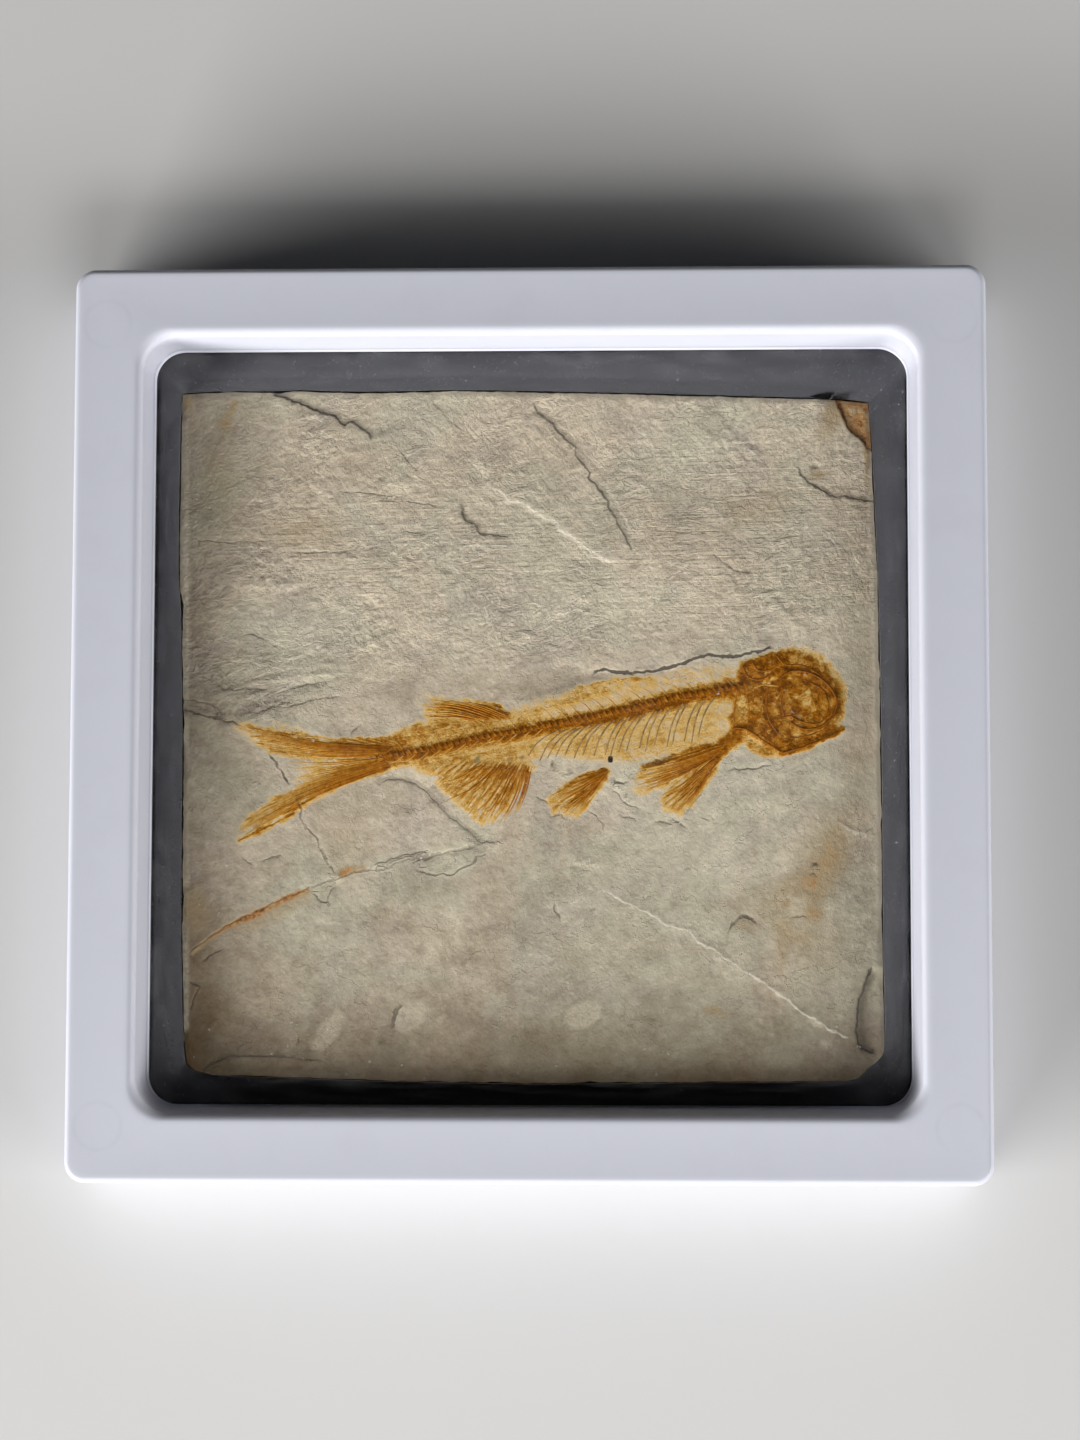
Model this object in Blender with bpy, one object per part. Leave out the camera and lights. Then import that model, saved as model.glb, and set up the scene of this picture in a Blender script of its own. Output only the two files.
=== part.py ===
"""Fossil fish slab held between two stretched films in a square display frame.

The frame lies on its back. The origin is the centre of the frame's back face,
X runs across it, Y runs up it and +Z points out of the face that shows the fish.
Lengths are given in millimetres and are turned into Blender's metres by MM.
"""
import math

import bmesh
import bpy
import numpy as np

MM = 0.001

# ---------------------------------------------------------------- frame
FRAME_HALF = 90.0          # half the frame's outer width
FRAME_DEPTH = 20.0         # back face to front face
SEAM_Z = 9.0               # plane where the two shells meet
OUTER_CORNER = 4.0         # plan radius of the outer corners
EDGE_ROUND = 1.8           # rounding of the outer and inner front edges
BORDER_INNER_HALF = 78.2   # where the flat border starts to round inwards
OPENING_HALF = 75.05       # half the opening at the films
OPENING_CORNER = 5.9       # plan radius of the opening at the films
MOUTH_CORNER = 7.0         # plan radius of the opening at the face
REBATE_HALF = 83.0         # the films end inside this line
REBATE_DEPTH = 0.55        # step that makes room for the films' rims
SEAM_GAP = 0.3             # gap between the closed shells
CORNER_STEPS = 6           # facets in each rounded corner
EDGE_STEPS = 3             # facets in each rounded edge

# ---------------------------------------------------------------- films
FILM_THICKNESS = 0.25
FILM_RIM_HALF = 82.0       # the films' outer edge, inside the rebate
FILM_RIM_CORNER = 3.0
FILM_CLEARANCE = 0.3       # gap between a film and what it touches
# corners of the outline where the films leave the slab, counter-clockwise
FILM_CONTACT = ((-69.4, -71.2), (70.1, -71.2), (68.5, 64.7), (-70.3, 67.3))
FILM_CONTACT_CORNER = 1.6

# ---------------------------------------------------------------- slab
SLAB_BACK_Z = 5.5
SLAB_FACE_Z = 12.0         # level of the split face, before its relief
RELIEF_LIMIT = 0.44        # nothing on the face stands higher than this
EDGE_WEAR = 0.55           # how far the rim of the face is worn down
SIDE_ROUGHNESS = 0.35      # broken edge, in and out
SLAB_COLUMNS = 56
RIM_INSET = 0.012          # share of the width taken by the worn rim

# broken outline of the slab, each side listed from its first corner to its last
SIDE_BOTTOM = ((-66.6, -67.4), (-63.5, -68.8), (-55.0, -69.4), (-30.0, -70.2), (0.0, -70.7),
               (40.0, -70.3), (61.5, -70.1), (64.6, -68.9), (66.2, -67.0))
SIDE_RIGHT = ((66.2, -67.0), (69.4, -64.6), (69.6, -60.0), (69.3, -45.0), (69.3, -25.0),
              (69.2, 0.0), (68.9, 25.0), (68.3, 42.0), (67.9, 53.0), (67.2, 63.8))
SIDE_TOP = ((-69.6, 66.2), (-60.0, 66.7), (-50.0, 66.4), (-47.0, 66.9), (-41.0, 66.5),
            (-30.0, 66.3), (-15.0, 66.6), (0.0, 66.3), (20.0, 65.8), (40.0, 65.2),
            (47.0, 64.9), (56.0, 64.7), (67.2, 63.8))
SIDE_LEFT = ((-66.6, -67.4), (-67.9, -60.0), (-68.4, -45.0), (-68.5, -30.0), (-68.6, 0.0),
             (-69.1, 18.0), (-69.0, 24.0), (-69.8, 27.0), (-69.8, 50.0), (-69.6, 66.2))

# rows of the face's grid: (last y, number of rows), finer across the fish
ROW_BANDS = ((-24.0, 14), (15.0, 24), (67.5, 14))

# ledges: (path, rise on the path's left side, fade width)
LEDGES = (
    (((-52.0, 66.5), (-46.0, 64.2), (-41.0, 62.2), (-37.5, 60.3), (-34.0, 59.3), (-31.0, 56.0)),
     -0.45, 9.0),
    (((1.0, 64.0), (4.5, 60.0), (9.3, 55.0), (12.2, 50.3), (15.7, 43.5), (20.3, 34.5)),
     -0.32, 8.0),
    (((-14.0, 54.5), (-8.5, 48.5), (-4.0, 44.2), (1.5, 41.7), (9.0, 37.0), (17.0, 32.0)),
     0.28, 9.0),
    (((-13.3, 42.0), (-10.5, 39.3), (-3.5, 37.2)), -0.26, 5.0),
    (((52.5, 51.5), (55.5, 47.8), (60.0, 45.2), (66.8, 44.3)), -0.30, 7.0),
    (((12.5, 9.5), (16.0, 10.4), (22.0, 10.2), (28.0, 11.3), (35.5, 14.2), (41.0, 13.4),
      (48.5, 15.3)), 0.26, 6.0),
    (((-57.0, -0.5), (-51.5, -6.0), (-47.3, -12.2), (-45.2, -16.5), (-42.0, -22.5),
      (-38.0, -30.0)), 0.24, 6.0),
    (((-30.0, -12.5), (-28.0, -10.8), (-22.0, -11.0), (-16.0, -17.5), (-10.0, -23.0),
      (-4.5, -24.0)), -0.30, 6.0),
    (((-67.5, -45.2), (-60.0, -40.0), (-52.0, -36.3), (-43.5, -32.5), (-36.0, -29.5),
      (-27.0, -28.0), (-10.0, -24.2)), 0.32, 8.0),
    (((67.6, -47.0), (65.0, -53.5), (64.2, -60.0), (65.3, -63.8), (67.5, -64.6)), -0.75, 7.0),
    (((-62.8, -70.0), (-61.5, -66.6), (-57.0, -65.2), (-40.0, -67.0)), 0.25, 5.0),
    (((61.0, 65.0), (62.6, 60.4), (64.2, 57.6), (67.6, 54.0)), -0.40, 6.0),
)

# low ridges: (path, height, half width)
RIDGES = (
    # backbone, from behind the skull to the tail
    (((41.0, 7.1), (35.0, 6.3), (30.0, 5.7), (20.0, 3.0), (10.0, 1.2), (0.0, -1.2),
      (-10.0, -3.2), (-20.0, -5.0), (-30.0, -7.0)), 0.30, 1.3),
    # the tail's two lobes
    (((-28.0, -5.4), (-38.0, -5.4), (-47.0, -4.2), (-57.5, -0.8)), 0.20, 1.6),
    (((-27.0, -6.8), (-38.0, -11.0), (-46.0, -15.0), (-56.5, -22.0)), 0.24, 1.5),
    # dorsal, anal, pelvic and pectoral fins
    (((-5.0, 1.8), (-12.0, 2.2), (-20.0, 3.0)), 0.16, 1.8),
    (((-3.0, -10.0), (-9.0, -13.0), (-15.0, -16.0)), 0.16, 2.2),
    (((-2.0, -10.5), (-3.5, -18.5)), 0.14, 1.8),
    (((14.5, -10.0), (6.5, -16.5)), 0.16, 1.8),
    (((37.0, -5.0), (30.0, -7.0), (22.5, -10.5)), 0.18, 1.8),
    (((35.0, -8.0), (29.0, -16.5)), 0.16, 1.8),
    # pale mineral vein across the lower right
    (((14.0, -32.5), (23.5, -37.5), (33.5, -43.3), (45.0, -50.3), (56.5, -58.5), (63.0, -62.0)),
     0.18, 1.2),
)

# ribs: top end and bottom end, below the backbone
RIB_COUNT = 16
RIB_HEIGHT = 0.10
RIB_HALF_WIDTH = 0.75

# rounded swellings: (centre x, centre y, half length, half width, turn in degrees, height)
SWELLINGS = (
    (51.5, 4.0, 11.5, 9.5, 0.0, 0.26),       # skull
    (54.8, 3.8, 3.4, 3.4, 0.0, -0.22),       # eye socket
    (43.5, 2.0, 4.0, 6.5, 0.0, 0.12),        # gill cover
    (20.0, -1.0, 24.0, 7.5, 12.0, 0.12),     # flank
    (-12.0, -5.0, 20.0, 4.6, 11.0, 0.10),    # hind body
    (-40.0, -57.5, 4.2, 6.0, 20.0, 0.14),    # loose flakes on the lower half
    (-22.0, -57.5, 3.6, 4.6, 10.0, 0.14),
    (10.5, -57.0, 5.0, 3.6, 20.0, 0.14),
    (-17.0, -27.5, 8.0, 2.6, 14.0, 0.16),
    (7.5, -36.5, 3.6, 4.6, 30.0, 0.15),
    (42.0, -39.3, 4.0, 2.2, -20.0, 0.12),
    (-36.5, -29.8, 2.6, 1.8, 20.0, 0.14),
    (38.0, 56.0, 9.0, 5.0, -30.0, 0.12),
    (-45.0, 52.0, 10.0, 7.0, -35.0, 0.12),
    (-63.0, 5.0, 6.0, 4.0, 0.0, -0.20),
)


def clear_scene():
    """Remove whatever the open file holds."""
    for item in list(bpy.data.objects):
        bpy.data.objects.remove(item, do_unlink=True)


def make_material(name, colour, roughness, transmission=0.0):
    """Return a Principled material with a plain colour."""
    material = bpy.data.materials.new(name)
    material.use_nodes = True
    shader = material.node_tree.nodes["Principled BSDF"]
    shader.inputs["Base Color"].default_value = (*colour, 1.0)
    shader.inputs["Roughness"].default_value = roughness
    shader.inputs["Metallic"].default_value = 0.0
    shader.inputs["Transmission Weight"].default_value = transmission
    return material


def add_object(name, bm, material, smooth_angle=None):
    """Turn a bmesh into a named object, shaded smooth below smooth_angle degrees."""
    bmesh.ops.recalc_face_normals(bm, faces=bm.faces)
    mesh = bpy.data.meshes.new(name)
    bm.to_mesh(mesh)
    bm.free()
    if smooth_angle is not None:
        mesh.shade_smooth()
        mesh.set_sharp_from_angle(angle=math.radians(smooth_angle))
    mesh.materials.append(material)
    item = bpy.data.objects.new(name, mesh)
    bpy.context.scene.collection.objects.link(item)
    return item


# ---------------------------------------------------------------- rings
def rounded_ring(bm, corners, radius, z):
    """Add a closed ring of vertices: a four-sided outline with rounded corners.

    corners run counter-clockwise from the lower left one.
    """
    ring = []
    inward = ((1, 1), (-1, 1), (-1, -1), (1, -1))
    for index, (x, y) in enumerate(corners):
        centre_x = x + inward[index][0] * radius
        centre_y = y + inward[index][1] * radius
        start = math.pi + index * math.pi / 2
        for step in range(CORNER_STEPS + 1):
            angle = start + step / CORNER_STEPS * math.pi / 2
            place = (centre_x + radius * math.cos(angle), centre_y + radius * math.sin(angle), z)
            ring.append(bm.verts.new([value * MM for value in place]))
    return ring


def square_ring(bm, half, radius, z):
    """Add a rounded square ring centred on the origin."""
    corners = ((-half, -half), (half, -half), (half, half), (-half, half))
    return rounded_ring(bm, corners, radius, z)


def join_rings(bm, first, second):
    """Fill the band between two rings of equal length with quads."""
    count = len(first)
    for index in range(count):
        after = (index + 1) % count
        bm.faces.new((first[index], first[after], second[after], second[index]))


def join_loop_of_rings(bm, rings):
    """Sweep a closed profile: join each ring to the next, and the last to the first."""
    for index, ring in enumerate(rings):
        join_rings(bm, ring, rings[(index + 1) % len(rings)])


# ---------------------------------------------------------------- frame shells
def shell_profile(face_z, lip_z):
    """Return a shell's cross-section as (half width, corner radius, z) rows.

    The section runs from the lip on the seam, up the outside, over the face and down
    into the opening. face_z may lie above or below lip_z.
    """
    up = 1.0 if face_z > lip_z else -1.0
    rows = [(FRAME_HALF, OUTER_CORNER, lip_z)]
    for step in range(EDGE_STEPS + 1):
        angle = step / EDGE_STEPS * math.pi / 2
        inset = EDGE_ROUND * (1.0 - math.cos(angle))
        drop = EDGE_ROUND * (1.0 - math.sin(angle))
        rows.append((FRAME_HALF - inset, OUTER_CORNER - inset, face_z - up * drop))
    for step in range(EDGE_STEPS + 1):
        angle = step / EDGE_STEPS * math.pi / 2
        inset = EDGE_ROUND * math.sin(angle)
        drop = EDGE_ROUND * (1.0 - math.cos(angle))
        rows.append((BORDER_INNER_HALF - inset, MOUTH_CORNER, face_z - up * drop))
    rebate_z = lip_z + up * REBATE_DEPTH
    rows.append((OPENING_HALF, OPENING_CORNER, rebate_z))
    rows.append((REBATE_HALF, OUTER_CORNER, rebate_z))
    rows.append((REBATE_HALF, OUTER_CORNER, lip_z))
    return rows


def make_shell(name, face_z, lip_z, material):
    """Build one half of the frame as a closed ring."""
    bm = bmesh.new()
    rings = [square_ring(bm, half, radius, z) for half, radius, z in shell_profile(face_z, lip_z)]
    join_loop_of_rings(bm, rings)
    return add_object(name, bm, material, smooth_angle=35)


# ---------------------------------------------------------------- films
def film_side(bm, rim_z, contact_z):
    """Add one skin of a film: rim, inner line of the frame, then the flat over the slab."""
    return [square_ring(bm, FILM_RIM_HALF, FILM_RIM_CORNER, rim_z),
            square_ring(bm, OPENING_HALF - FILM_CLEARANCE, OPENING_CORNER, rim_z),
            rounded_ring(bm, FILM_CONTACT, FILM_CONTACT_CORNER, contact_z)]


def make_film(name, rim_z, contact_z, material):
    """Build a film: rim_z and contact_z are the levels of its lower skin."""
    bm = bmesh.new()
    lower = film_side(bm, rim_z, contact_z)
    upper = film_side(bm, rim_z + FILM_THICKNESS, contact_z + FILM_THICKNESS)
    for rings in (lower, upper):
        join_rings(bm, rings[0], rings[1])
        join_rings(bm, rings[1], rings[2])
        bm.faces.new(rings[2])
    join_rings(bm, lower[0], upper[0])
    return add_object(name, bm, material, smooth_angle=25)


# ---------------------------------------------------------------- slab
def along(path, share):
    """Return the point of a polyline at a share (0 to 1) of its length."""
    points = np.array(path)
    lengths = np.concatenate(([0.0], np.cumsum(np.linalg.norm(np.diff(points, axis=0), axis=1))))
    target = share * lengths[-1]
    return np.array([np.interp(target, lengths, points[:, 0]),
                     np.interp(target, lengths, points[:, 1])])


def side_shares(column_shares, row_shares):
    """Return each grid line's place on the four sides of the outline."""
    return ([along(SIDE_BOTTOM, share) for share in column_shares],
            [along(SIDE_TOP, share) for share in column_shares],
            [along(SIDE_LEFT, share) for share in row_shares],
            [along(SIDE_RIGHT, share) for share in row_shares])


def face_grid():
    """Return the face's grid points, a Coons patch that follows the broken outline."""
    columns = np.concatenate(([0.0], np.linspace(RIM_INSET, 1.0 - RIM_INSET, SLAB_COLUMNS), [1.0]))
    low_y, high_y = SIDE_LEFT[0][1], ROW_BANDS[-1][0]
    rows = [0.0]
    start = low_y + RIM_INSET * (high_y - low_y)
    for last_y, count in ROW_BANDS:
        stop = min(last_y, high_y - RIM_INSET * (high_y - low_y))
        levels = np.linspace(start, stop, count, endpoint=last_y == high_y)
        rows.extend((levels - low_y) / (high_y - low_y))
        start = stop
    rows = np.array(rows + [1.0])
    bottom, top, left, right = side_shares(columns, rows)
    grid = np.zeros((len(rows), len(columns), 2))
    for j, v in enumerate(rows):
        for i, u in enumerate(columns):
            edges = (1 - v) * bottom[i] + v * top[i] + (1 - u) * left[j] + u * right[j]
            corners = ((1 - u) * (1 - v) * bottom[0] + u * (1 - v) * bottom[-1]
                       + (1 - u) * v * top[0] + u * v * top[-1])
            grid[j, i] = edges - corners
    return grid


def path_distance(x, y, path):
    """Return the distance to a polyline, and +1 on its left or -1 on its right."""
    best = (math.inf, 1.0)
    for (ax, ay), (bx, by) in zip(path, path[1:]):
        dx, dy = bx - ax, by - ay
        share = ((x - ax) * dx + (y - ay) * dy) / (dx * dx + dy * dy)
        share = min(1.0, max(0.0, share))
        gap_x, gap_y = x - ax - share * dx, y - ay - share * dy
        distance = math.hypot(gap_x, gap_y)
        if distance < best[0]:
            best = (distance, 1.0 if dx * gap_y - dy * gap_x >= 0 else -1.0)
    return best


def rib_paths():
    """Return the ribs as short paths that lean back from below the backbone."""
    paths = []
    for index in range(RIB_COUNT):
        share = index / (RIB_COUNT - 1)
        top_x = 35.0 - 29.0 * share
        top_y = 3.6 - 4.2 * share
        lean = 2.2 + 3.2 * share
        paths.append(((top_x, top_y), (top_x - 0.75 * lean, top_y - 4.2), (top_x - lean, top_y - 7.6)))
    return paths


def swelling_height(x, y, swelling):
    """Return the height of one rounded swelling at a point."""
    centre_x, centre_y, length, width, turn, height = swelling
    angle = math.radians(turn)
    dx, dy = x - centre_x, y - centre_y
    u = (dx * math.cos(angle) + dy * math.sin(angle)) / length
    v = (dy * math.cos(angle) - dx * math.sin(angle)) / width
    inside = max(0.0, 1.0 - u * u - v * v)
    return height * math.sqrt(inside)


def relief(x, y, ribs):
    """Return how far the split face stands above its nominal level."""
    height = 0.10 * math.sin(x / 17.0 + 0.6) * math.cos(y / 13.0) + 0.05 * math.sin(x / 5.0 + y / 4.0)
    for path, rise, fade in LEDGES:
        distance, side = path_distance(x, y, path)
        if side > 0:
            height += rise * math.exp(-(distance / fade) ** 2)
    for path, rise, half_width in RIDGES:
        distance, _ = path_distance(x, y, path)
        height += rise * math.exp(-(distance / half_width) ** 2)
    for path in ribs:
        distance, _ = path_distance(x, y, path)
        height += RIB_HEIGHT * math.exp(-(distance / RIB_HALF_WIDTH) ** 2)
    for swelling in SWELLINGS:
        height += swelling_height(x, y, swelling)
    return min(height, RELIEF_LIMIT)


def rim_loop(grid):
    """Return the (row, column) places of the grid's rim, counter-clockwise."""
    rows, columns = grid.shape[:2]
    loop = [(0, i) for i in range(columns)]
    loop += [(j, columns - 1) for j in range(1, rows)]
    loop += [(rows - 1, i) for i in range(columns - 2, -1, -1)]
    loop += [(j, 0) for j in range(rows - 2, 0, -1)]
    return loop


def add_face(bm, grid):
    """Add the relief face and return its vertices as rows of columns."""
    rows, columns = grid.shape[:2]
    ribs = rib_paths()
    verts = []
    for j in range(rows):
        line = []
        for i in range(columns):
            x, y = grid[j, i]
            z = SLAB_FACE_Z + relief(x, y, ribs)
            if i in (0, columns - 1) or j in (0, rows - 1):
                z -= EDGE_WEAR
            line.append(bm.verts.new((x * MM, y * MM, z * MM)))
        verts.append(line)
    for j in range(rows - 1):
        for i in range(columns - 1):
            bm.faces.new((verts[j][i], verts[j][i + 1], verts[j + 1][i + 1], verts[j + 1][i]))
    return verts


def side_ring(bm, rim, z, inset, phase):
    """Add a ring below the rim, drawn in by inset and wavering like a broken edge."""
    ring = []
    for index, (x, y) in enumerate(rim):
        waver = SIDE_ROUGHNESS * math.sin(index * 1.9 + phase) * math.sin(index * 0.37 + phase)
        reach = 1.0 - (inset + abs(waver)) / 69.0
        ring.append(bm.verts.new((x * reach * MM, y * reach * MM, z * MM)))
    return ring


def make_slab(material):
    """Build the slab with its fish as one closed solid."""
    bm = bmesh.new()
    grid = face_grid()
    verts = add_face(bm, grid)
    loop = rim_loop(grid)
    rim = [grid[j, i] for j, i in loop]
    rings = [[verts[j][i] for j, i in loop],
             side_ring(bm, rim, SLAB_FACE_Z - 3.0, 0.1, 0.0),
             side_ring(bm, rim, SLAB_BACK_Z + 0.8, 0.2, 1.3),
             side_ring(bm, rim, SLAB_BACK_Z, 1.0, 2.1)]
    for upper, lower in zip(rings, rings[1:]):
        join_rings(bm, upper, lower)
    bm.faces.new(rings[-1])
    return add_object("slab", bm, material)


def main():
    """Build the five pieces of the display."""
    clear_scene()
    white = make_material("white_plastic", (0.86, 0.86, 0.87), 0.38)
    clear = make_material("clear_film", (0.98, 0.98, 0.98), 0.05, transmission=1.0)
    dark = make_material("dark_film", (0.015, 0.015, 0.018), 0.15)
    stone = make_material("shale", (0.43, 0.38, 0.29), 0.85)
    half_gap = SEAM_GAP / 2
    make_shell("frame_front", FRAME_DEPTH, SEAM_Z + half_gap, white)
    make_shell("frame_back", 0.0, SEAM_Z - half_gap, white)
    face_top = SLAB_FACE_Z + RELIEF_LIMIT
    make_film("film_front", SEAM_Z + half_gap, face_top + FILM_CLEARANCE, clear)
    make_film("film_back", SEAM_Z - half_gap - FILM_THICKNESS,
              SLAB_BACK_Z - FILM_CLEARANCE - FILM_THICKNESS, dark)
    make_slab(stone)


main()
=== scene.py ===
"""Looks of a fossil fish slab held between stretched films in a square display frame.

Lengths in the classes below are millimetres in the part's own frame: X across the
frame towards the fish's head, Y up the frame, Z out of the face that shows the fish.
"""
from __future__ import annotations

import logging
import math
from dataclasses import dataclass, field
from enum import Enum
from typing import Sequence

import bmesh
import bpy
import numpy as np
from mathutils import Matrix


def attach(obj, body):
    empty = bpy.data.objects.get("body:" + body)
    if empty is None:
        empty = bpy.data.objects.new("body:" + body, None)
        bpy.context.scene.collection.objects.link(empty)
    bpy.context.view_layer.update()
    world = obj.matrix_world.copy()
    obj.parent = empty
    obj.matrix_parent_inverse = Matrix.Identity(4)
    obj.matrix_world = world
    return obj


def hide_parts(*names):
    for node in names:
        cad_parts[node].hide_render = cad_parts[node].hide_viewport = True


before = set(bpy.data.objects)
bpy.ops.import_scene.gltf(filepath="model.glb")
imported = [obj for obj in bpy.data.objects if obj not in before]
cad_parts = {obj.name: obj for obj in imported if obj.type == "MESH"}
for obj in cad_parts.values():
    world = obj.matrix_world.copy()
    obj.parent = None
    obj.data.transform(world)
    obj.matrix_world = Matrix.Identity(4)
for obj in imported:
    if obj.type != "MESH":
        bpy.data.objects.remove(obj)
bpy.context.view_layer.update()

LOG = logging.getLogger("fossil_display")
MM = 0.001
ROOT = "root"

Point = tuple[float, float]
Path = tuple[Point, ...]
Colour = tuple[float, float, float]


# ================================================================ small helpers
class Graph:
    """Short calls that add nodes to one tree and link them."""

    def __init__(self, tree: bpy.types.NodeTree) -> None:
        """Keep the tree.

        Args:
            tree: The shader or geometry tree to add to.
        """
        self.tree = tree

    def add(self, kind: str, inputs: dict | None = None, **settings: object) -> bpy.types.Node:
        """Add one node.

        Args:
            kind: The node's type name.
            inputs: Values or sockets for its inputs, by name or index.
            **settings: Properties of the node itself.

        Returns:
            The new node.
        """
        node = self.tree.nodes.new(kind)
        for key, value in settings.items():
            setattr(node, key, value)
        for key, value in (inputs or {}).items():
            if isinstance(value, bpy.types.NodeSocket):
                self.tree.links.new(value, node.inputs[key])
            else:
                node.inputs[key].default_value = value
        return node

    def join(self, source: bpy.types.NodeSocket, target: bpy.types.NodeSocket) -> None:
        """Link two sockets."""
        self.tree.links.new(source, target)


class Shade(Graph):
    """A material's tree with the maths and patterns that the finishes share."""

    def __init__(self, name: str) -> None:
        """Make the material.

        Args:
            name: The material's name.
        """
        self.material = bpy.data.materials.new(name)
        self.material.use_nodes = True
        super().__init__(self.material.node_tree)
        self.shader = self.tree.nodes["Principled BSDF"]
        self.place = self.millimetres()

    def millimetres(self) -> bpy.types.NodeSocket:
        """Return the piece's own coordinates in millimetres."""
        place = self.add("ShaderNodeTexCoord").outputs["Object"]
        scaled = self.add("ShaderNodeVectorMath", {0: place, "Scale": 1.0 / MM}, operation="SCALE")
        return scaled.outputs["Vector"]

    def stretch(self, scale: tuple[float, float, float], turn: float = 0.0) -> bpy.types.NodeSocket:
        """Return the place, turned about Z by turn degrees and then scaled per axis."""
        turned = self.add("ShaderNodeMapping", {"Vector": self.place,
                                                "Rotation": (0.0, 0.0, math.radians(turn))})
        node = self.add("ShaderNodeMapping", {"Vector": turned.outputs[0], "Scale": scale})
        return node.outputs["Vector"]

    def value(self, name: str) -> bpy.types.NodeSocket:
        """Return a number kept on the mesh under a name."""
        return self.add("ShaderNodeAttribute", attribute_name=name).outputs["Fac"]

    def vector(self, name: str) -> bpy.types.NodeSocket:
        """Return a vector kept on the mesh under a name."""
        return self.add("ShaderNodeAttribute", attribute_name=name).outputs["Vector"]

    def math(self, operation: str, first: object, second: object = 0.0, third: object = 0.0,
             clamp: bool = False) -> bpy.types.NodeSocket:
        """Return the result of one maths operation."""
        node = self.add("ShaderNodeMath", {0: first, 1: second, 2: third},
                        operation=operation, use_clamp=clamp)
        return node.outputs[0]

    def remap(self, source: object, low: float, high: float, start: float = 0.0,
              end: float = 1.0, smooth: bool = False) -> bpy.types.NodeSocket:
        """Return source moved from low..high to start..end, held at both ends."""
        node = self.add("ShaderNodeMapRange",
                        {"Value": source, "From Min": low, "From Max": high,
                         "To Min": start, "To Max": end},
                        interpolation_type="SMOOTHSTEP" if smooth else "LINEAR")
        return node.outputs["Result"]

    def noise(self, scale: float, detail: float = 4.0, roughness: float = 0.55,
              vector: bpy.types.NodeSocket | None = None, twist: float = 0.0) -> bpy.types.NodeSocket:
        """Return fractal noise with scale features per millimetre."""
        node = self.add("ShaderNodeTexNoise",
                        {"Vector": vector or self.place, "Scale": scale, "Detail": detail,
                         "Roughness": roughness, "Distortion": twist})
        return node.outputs["Fac"]

    def mix(self, share: object, first: object, second: object,
            blend: str = "MIX") -> bpy.types.NodeSocket:
        """Return two colours mixed by share."""
        def ready(colour: object) -> object:
            """Give a plain colour its fourth number."""
            return colour if isinstance(colour, bpy.types.NodeSocket) else (*colour, 1.0)
        node = self.add("ShaderNodeMix", {0: share, 6: ready(first), 7: ready(second)},
                        data_type="RGBA", blend_type=blend)
        return node.outputs[2]

    def ramp(self, share: bpy.types.NodeSocket,
             stops: Sequence[tuple[float, Colour]]) -> bpy.types.NodeSocket:
        """Return a colour read from a ramp of (place, colour) stops."""
        node = self.add("ShaderNodeValToRGB", {"Fac": share})
        elements = node.color_ramp.elements
        while len(elements) < len(stops):
            elements.new(0.5)
        for element, (place, colour) in zip(elements, stops):
            element.position = place
            element.color = (*colour, 1.0)
        return node.outputs["Color"]

    def bump(self, height: bpy.types.NodeSocket, strength: float, distance_mm: float,
             below: bpy.types.NodeSocket | None = None) -> bpy.types.NodeSocket:
        """Return a normal bent by a height, over an earlier normal where one is given."""
        inputs = {"Height": height, "Strength": strength, "Distance": distance_mm * MM}
        if below is not None:
            inputs["Normal"] = below
        return self.add("ShaderNodeBump", inputs).outputs["Normal"]

    def finish(self, **inputs: object) -> bpy.types.Material:
        """Set the shader's inputs, named with underscores for spaces, and return the material."""
        for key, value in inputs.items():
            socket = self.shader.inputs[key.replace("_", " ")]
            if isinstance(value, bpy.types.NodeSocket):
                self.join(value, socket)
            else:
                socket.default_value = value
        return self.material


def add_mesh(name: str, points: np.ndarray, faces: Sequence[Sequence[int]],
             material: bpy.types.Material, smooth: bool = True) -> bpy.types.Object:
    """Make a mesh object from points in millimetres.

    Args:
        name: The piece's name.
        points: One row of x, y, z for each vertex.
        faces: Vertex numbers of each face.
        material: The piece's finish.
        smooth: Whether the faces are shaded smooth.

    Returns:
        The new object, at the origin.
    """
    mesh = bpy.data.meshes.new(name)
    mesh.from_pydata((np.asarray(points) * MM).tolist(), [], faces)
    mesh.update()
    if smooth:
        mesh.shade_smooth()
    mesh.materials.append(material)
    item = bpy.data.objects.new(name, mesh)
    bpy.context.scene.collection.objects.link(item)
    return item


def store(item: bpy.types.Object, name: str, values: np.ndarray) -> None:
    """Keep one number or one vector per vertex on a mesh, under a name."""
    kind = "FLOAT" if values.ndim == 1 else "FLOAT_VECTOR"
    slot = item.data.attributes.new(name, kind, "POINT")
    slot.data.foreach_set("value" if values.ndim == 1 else "vector",
                          np.ascontiguousarray(values, dtype=np.float32).ravel())


def smoothstep(low: float, high: float, value: np.ndarray) -> np.ndarray:
    """Return the smooth rise from 0 at low to 1 at high."""
    share = np.clip((value - low) / (high - low), 0.0, 1.0)
    return share * share * (3.0 - 2.0 * share)


def rounded(points: Path, steps: int = 5) -> Path:
    """Return a smooth path through given points (Catmull-Rom)."""
    spots = [np.array(point) for point in points]
    spots = [2 * spots[0] - spots[1], *spots, 2 * spots[-1] - spots[-2]]
    found = []
    for a, b, c, d in zip(spots, spots[1:], spots[2:], spots[3:]):
        for step in range(steps):
            t = step / steps
            spot = 0.5 * (2 * b + (c - a) * t + (2 * a - 5 * b + 4 * c - d) * t ** 2
                          + (3 * b - a - 3 * c + d) * t ** 3)
            found.append((float(spot[0]), float(spot[1])))
    return (*found, (float(spots[-2][0]), float(spots[-2][1])))


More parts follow.
